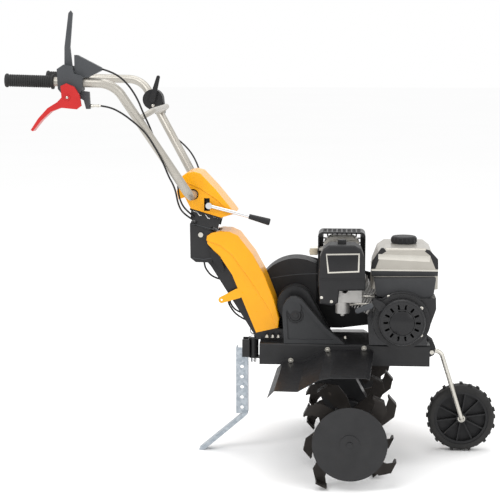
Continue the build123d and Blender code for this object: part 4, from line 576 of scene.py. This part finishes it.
def console_details():
    """Light scuffs under the bracket's flange, its seams, and the black insert in the lower cover."""
    marks = []
    face = seat("console_bracket", -0.180, 0.690)[0]
    for line in ([(-0.199, 0.704), (-0.188, 0.701), (-0.180, 0.691), (-0.175, 0.692)],
                 [(-0.164, 0.695), (-0.157, 0.684), (-0.151, 0.683)], [(-0.141, 0.688), (-0.126, 0.684)]):
        marks.append(band(line, 0.0022, face.y - 0.0004, face.y + 0.0004))
    put("flange_scuffs", marks, "console", finish=MARK_WHITE)
    face = seat("head_bracket", -0.176, 0.600)[0]
    seam = [(-0.205, 0.667), (-0.185, 0.664), (-0.160, 0.657), (-0.138, 0.652)]
    put("bracket_seam", [band(seam, 0.0014, face.y - 0.0012, face.y + 0.001)], "frame_body", "plastic_grey")
    foot = [(-0.200, 0.570), (-0.170, 0.566), (-0.145, 0.570)]
    put("bracket_foot", [band(foot, 0.0016, face.y - 0.0010, face.y + 0.001)], "frame_body", "plastic_grey")
    side = seat("lower_cover", -0.120, 0.590)[0]
    insert = [(-0.156, 0.603), (-0.136, 0.589), (-0.121, 0.575), (-0.109, 0.540), (-0.114, 0.531),
              (-0.124, 0.540),
              (-0.144, 0.566)]
    if side:
        moulding = prism(insert, side.y - 0.0030, side.y + 0.003, 0.0020)
        put("cover_insert", [moulding], "frame_body", "plastic_black")


grips()
cables()
engine_details()
frame_details()
wheel_details()
handle_details()
console_details()


# ---- stage ---------------------------------------------------------------------------------
def floor():
    """A plain pale floor."""
    mesh = bpy.data.meshes.new("floor")
    reach = 40.0
    mesh.from_pydata([(-reach, -reach, 0), (reach, -reach, 0), (reach, reach, 0), (-reach, reach, 0)], [],
                     [(0, 1, 2, 3)])
    piece = bpy.data.objects.new("floor", mesh)
    bpy.context.scene.collection.objects.link(piece)
    made, tree, shader, where = new_material("pale_floor")
    tone = noise(tree, where, 0.6, 2.0)
    pale = blend_colours(tree, tone, (0.965, 0.965, 0.965), (0.985, 0.985, 0.985))
    tree.links.new(pale, shader.inputs["Base Color"])
    shader.inputs["Roughness"].default_value = 0.9
    shader.inputs["Specular IOR Level"].default_value = 0.0
    mesh.materials.append(made)


def area_light(name, where, aim, size, power):
    """A soft square light aimed at a point."""
    light = bpy.data.lights.new(name, "AREA")
    light.shape = "SQUARE"
    light.size = size
    light.energy = power
    lamp = bpy.data.objects.new(name, light)
    bpy.context.scene.collection.objects.link(lamp)
    lamp.location = where
    lamp.rotation_euler = (Vector(aim) - Vector(where)).to_track_quat("-Z", "Y").to_euler()


def studio():
    """White surroundings and three soft lights."""
    world = bpy.data.worlds.new("studio")
    bpy.context.scene.world = world
    world.use_nodes = True
    backdrop = world.node_tree.nodes["Background"]
    backdrop.inputs["Color"].default_value = (1, 1, 1, 1)
    backdrop.inputs["Strength"].default_value = 1.0
    area_light("key", (-2.0, -3.0, 3.6), (0, 0, 0.5), 2.2, 75)
    area_light("fill", (2.6, -2.4, 2.0), (0.1, 0, 0.5), 2.4, 28)
    area_light("top", (0.2, 0.4, 3.8), (0, 0, 0.4), 2.6, 45)
    bpy.context.scene.view_settings.view_transform = "Standard"


def camera():
    """The viewing angle: a long lens from the right-hand side, a little behind and above."""
    turn, tilt = radians(-3.99), radians(-8.06)
    direction = Vector((sin(turn) * cos(tilt), cos(turn) * cos(tilt), sin(tilt)))
    lens = bpy.data.cameras.new("camera")
    lens.sensor_width = 36.0
    lens.lens = 101.93
    lens.clip_end = 100.0
    eye = bpy.data.objects.new("camera", lens)
    bpy.context.scene.collection.objects.link(eye)
    eye.location = (0.23806, -4.0, 1.15518)
    eye.rotation_euler = direction.to_track_quat("-Z", "Y").to_euler()
    bpy.context.scene.camera = eye


floor()
studio()
camera()
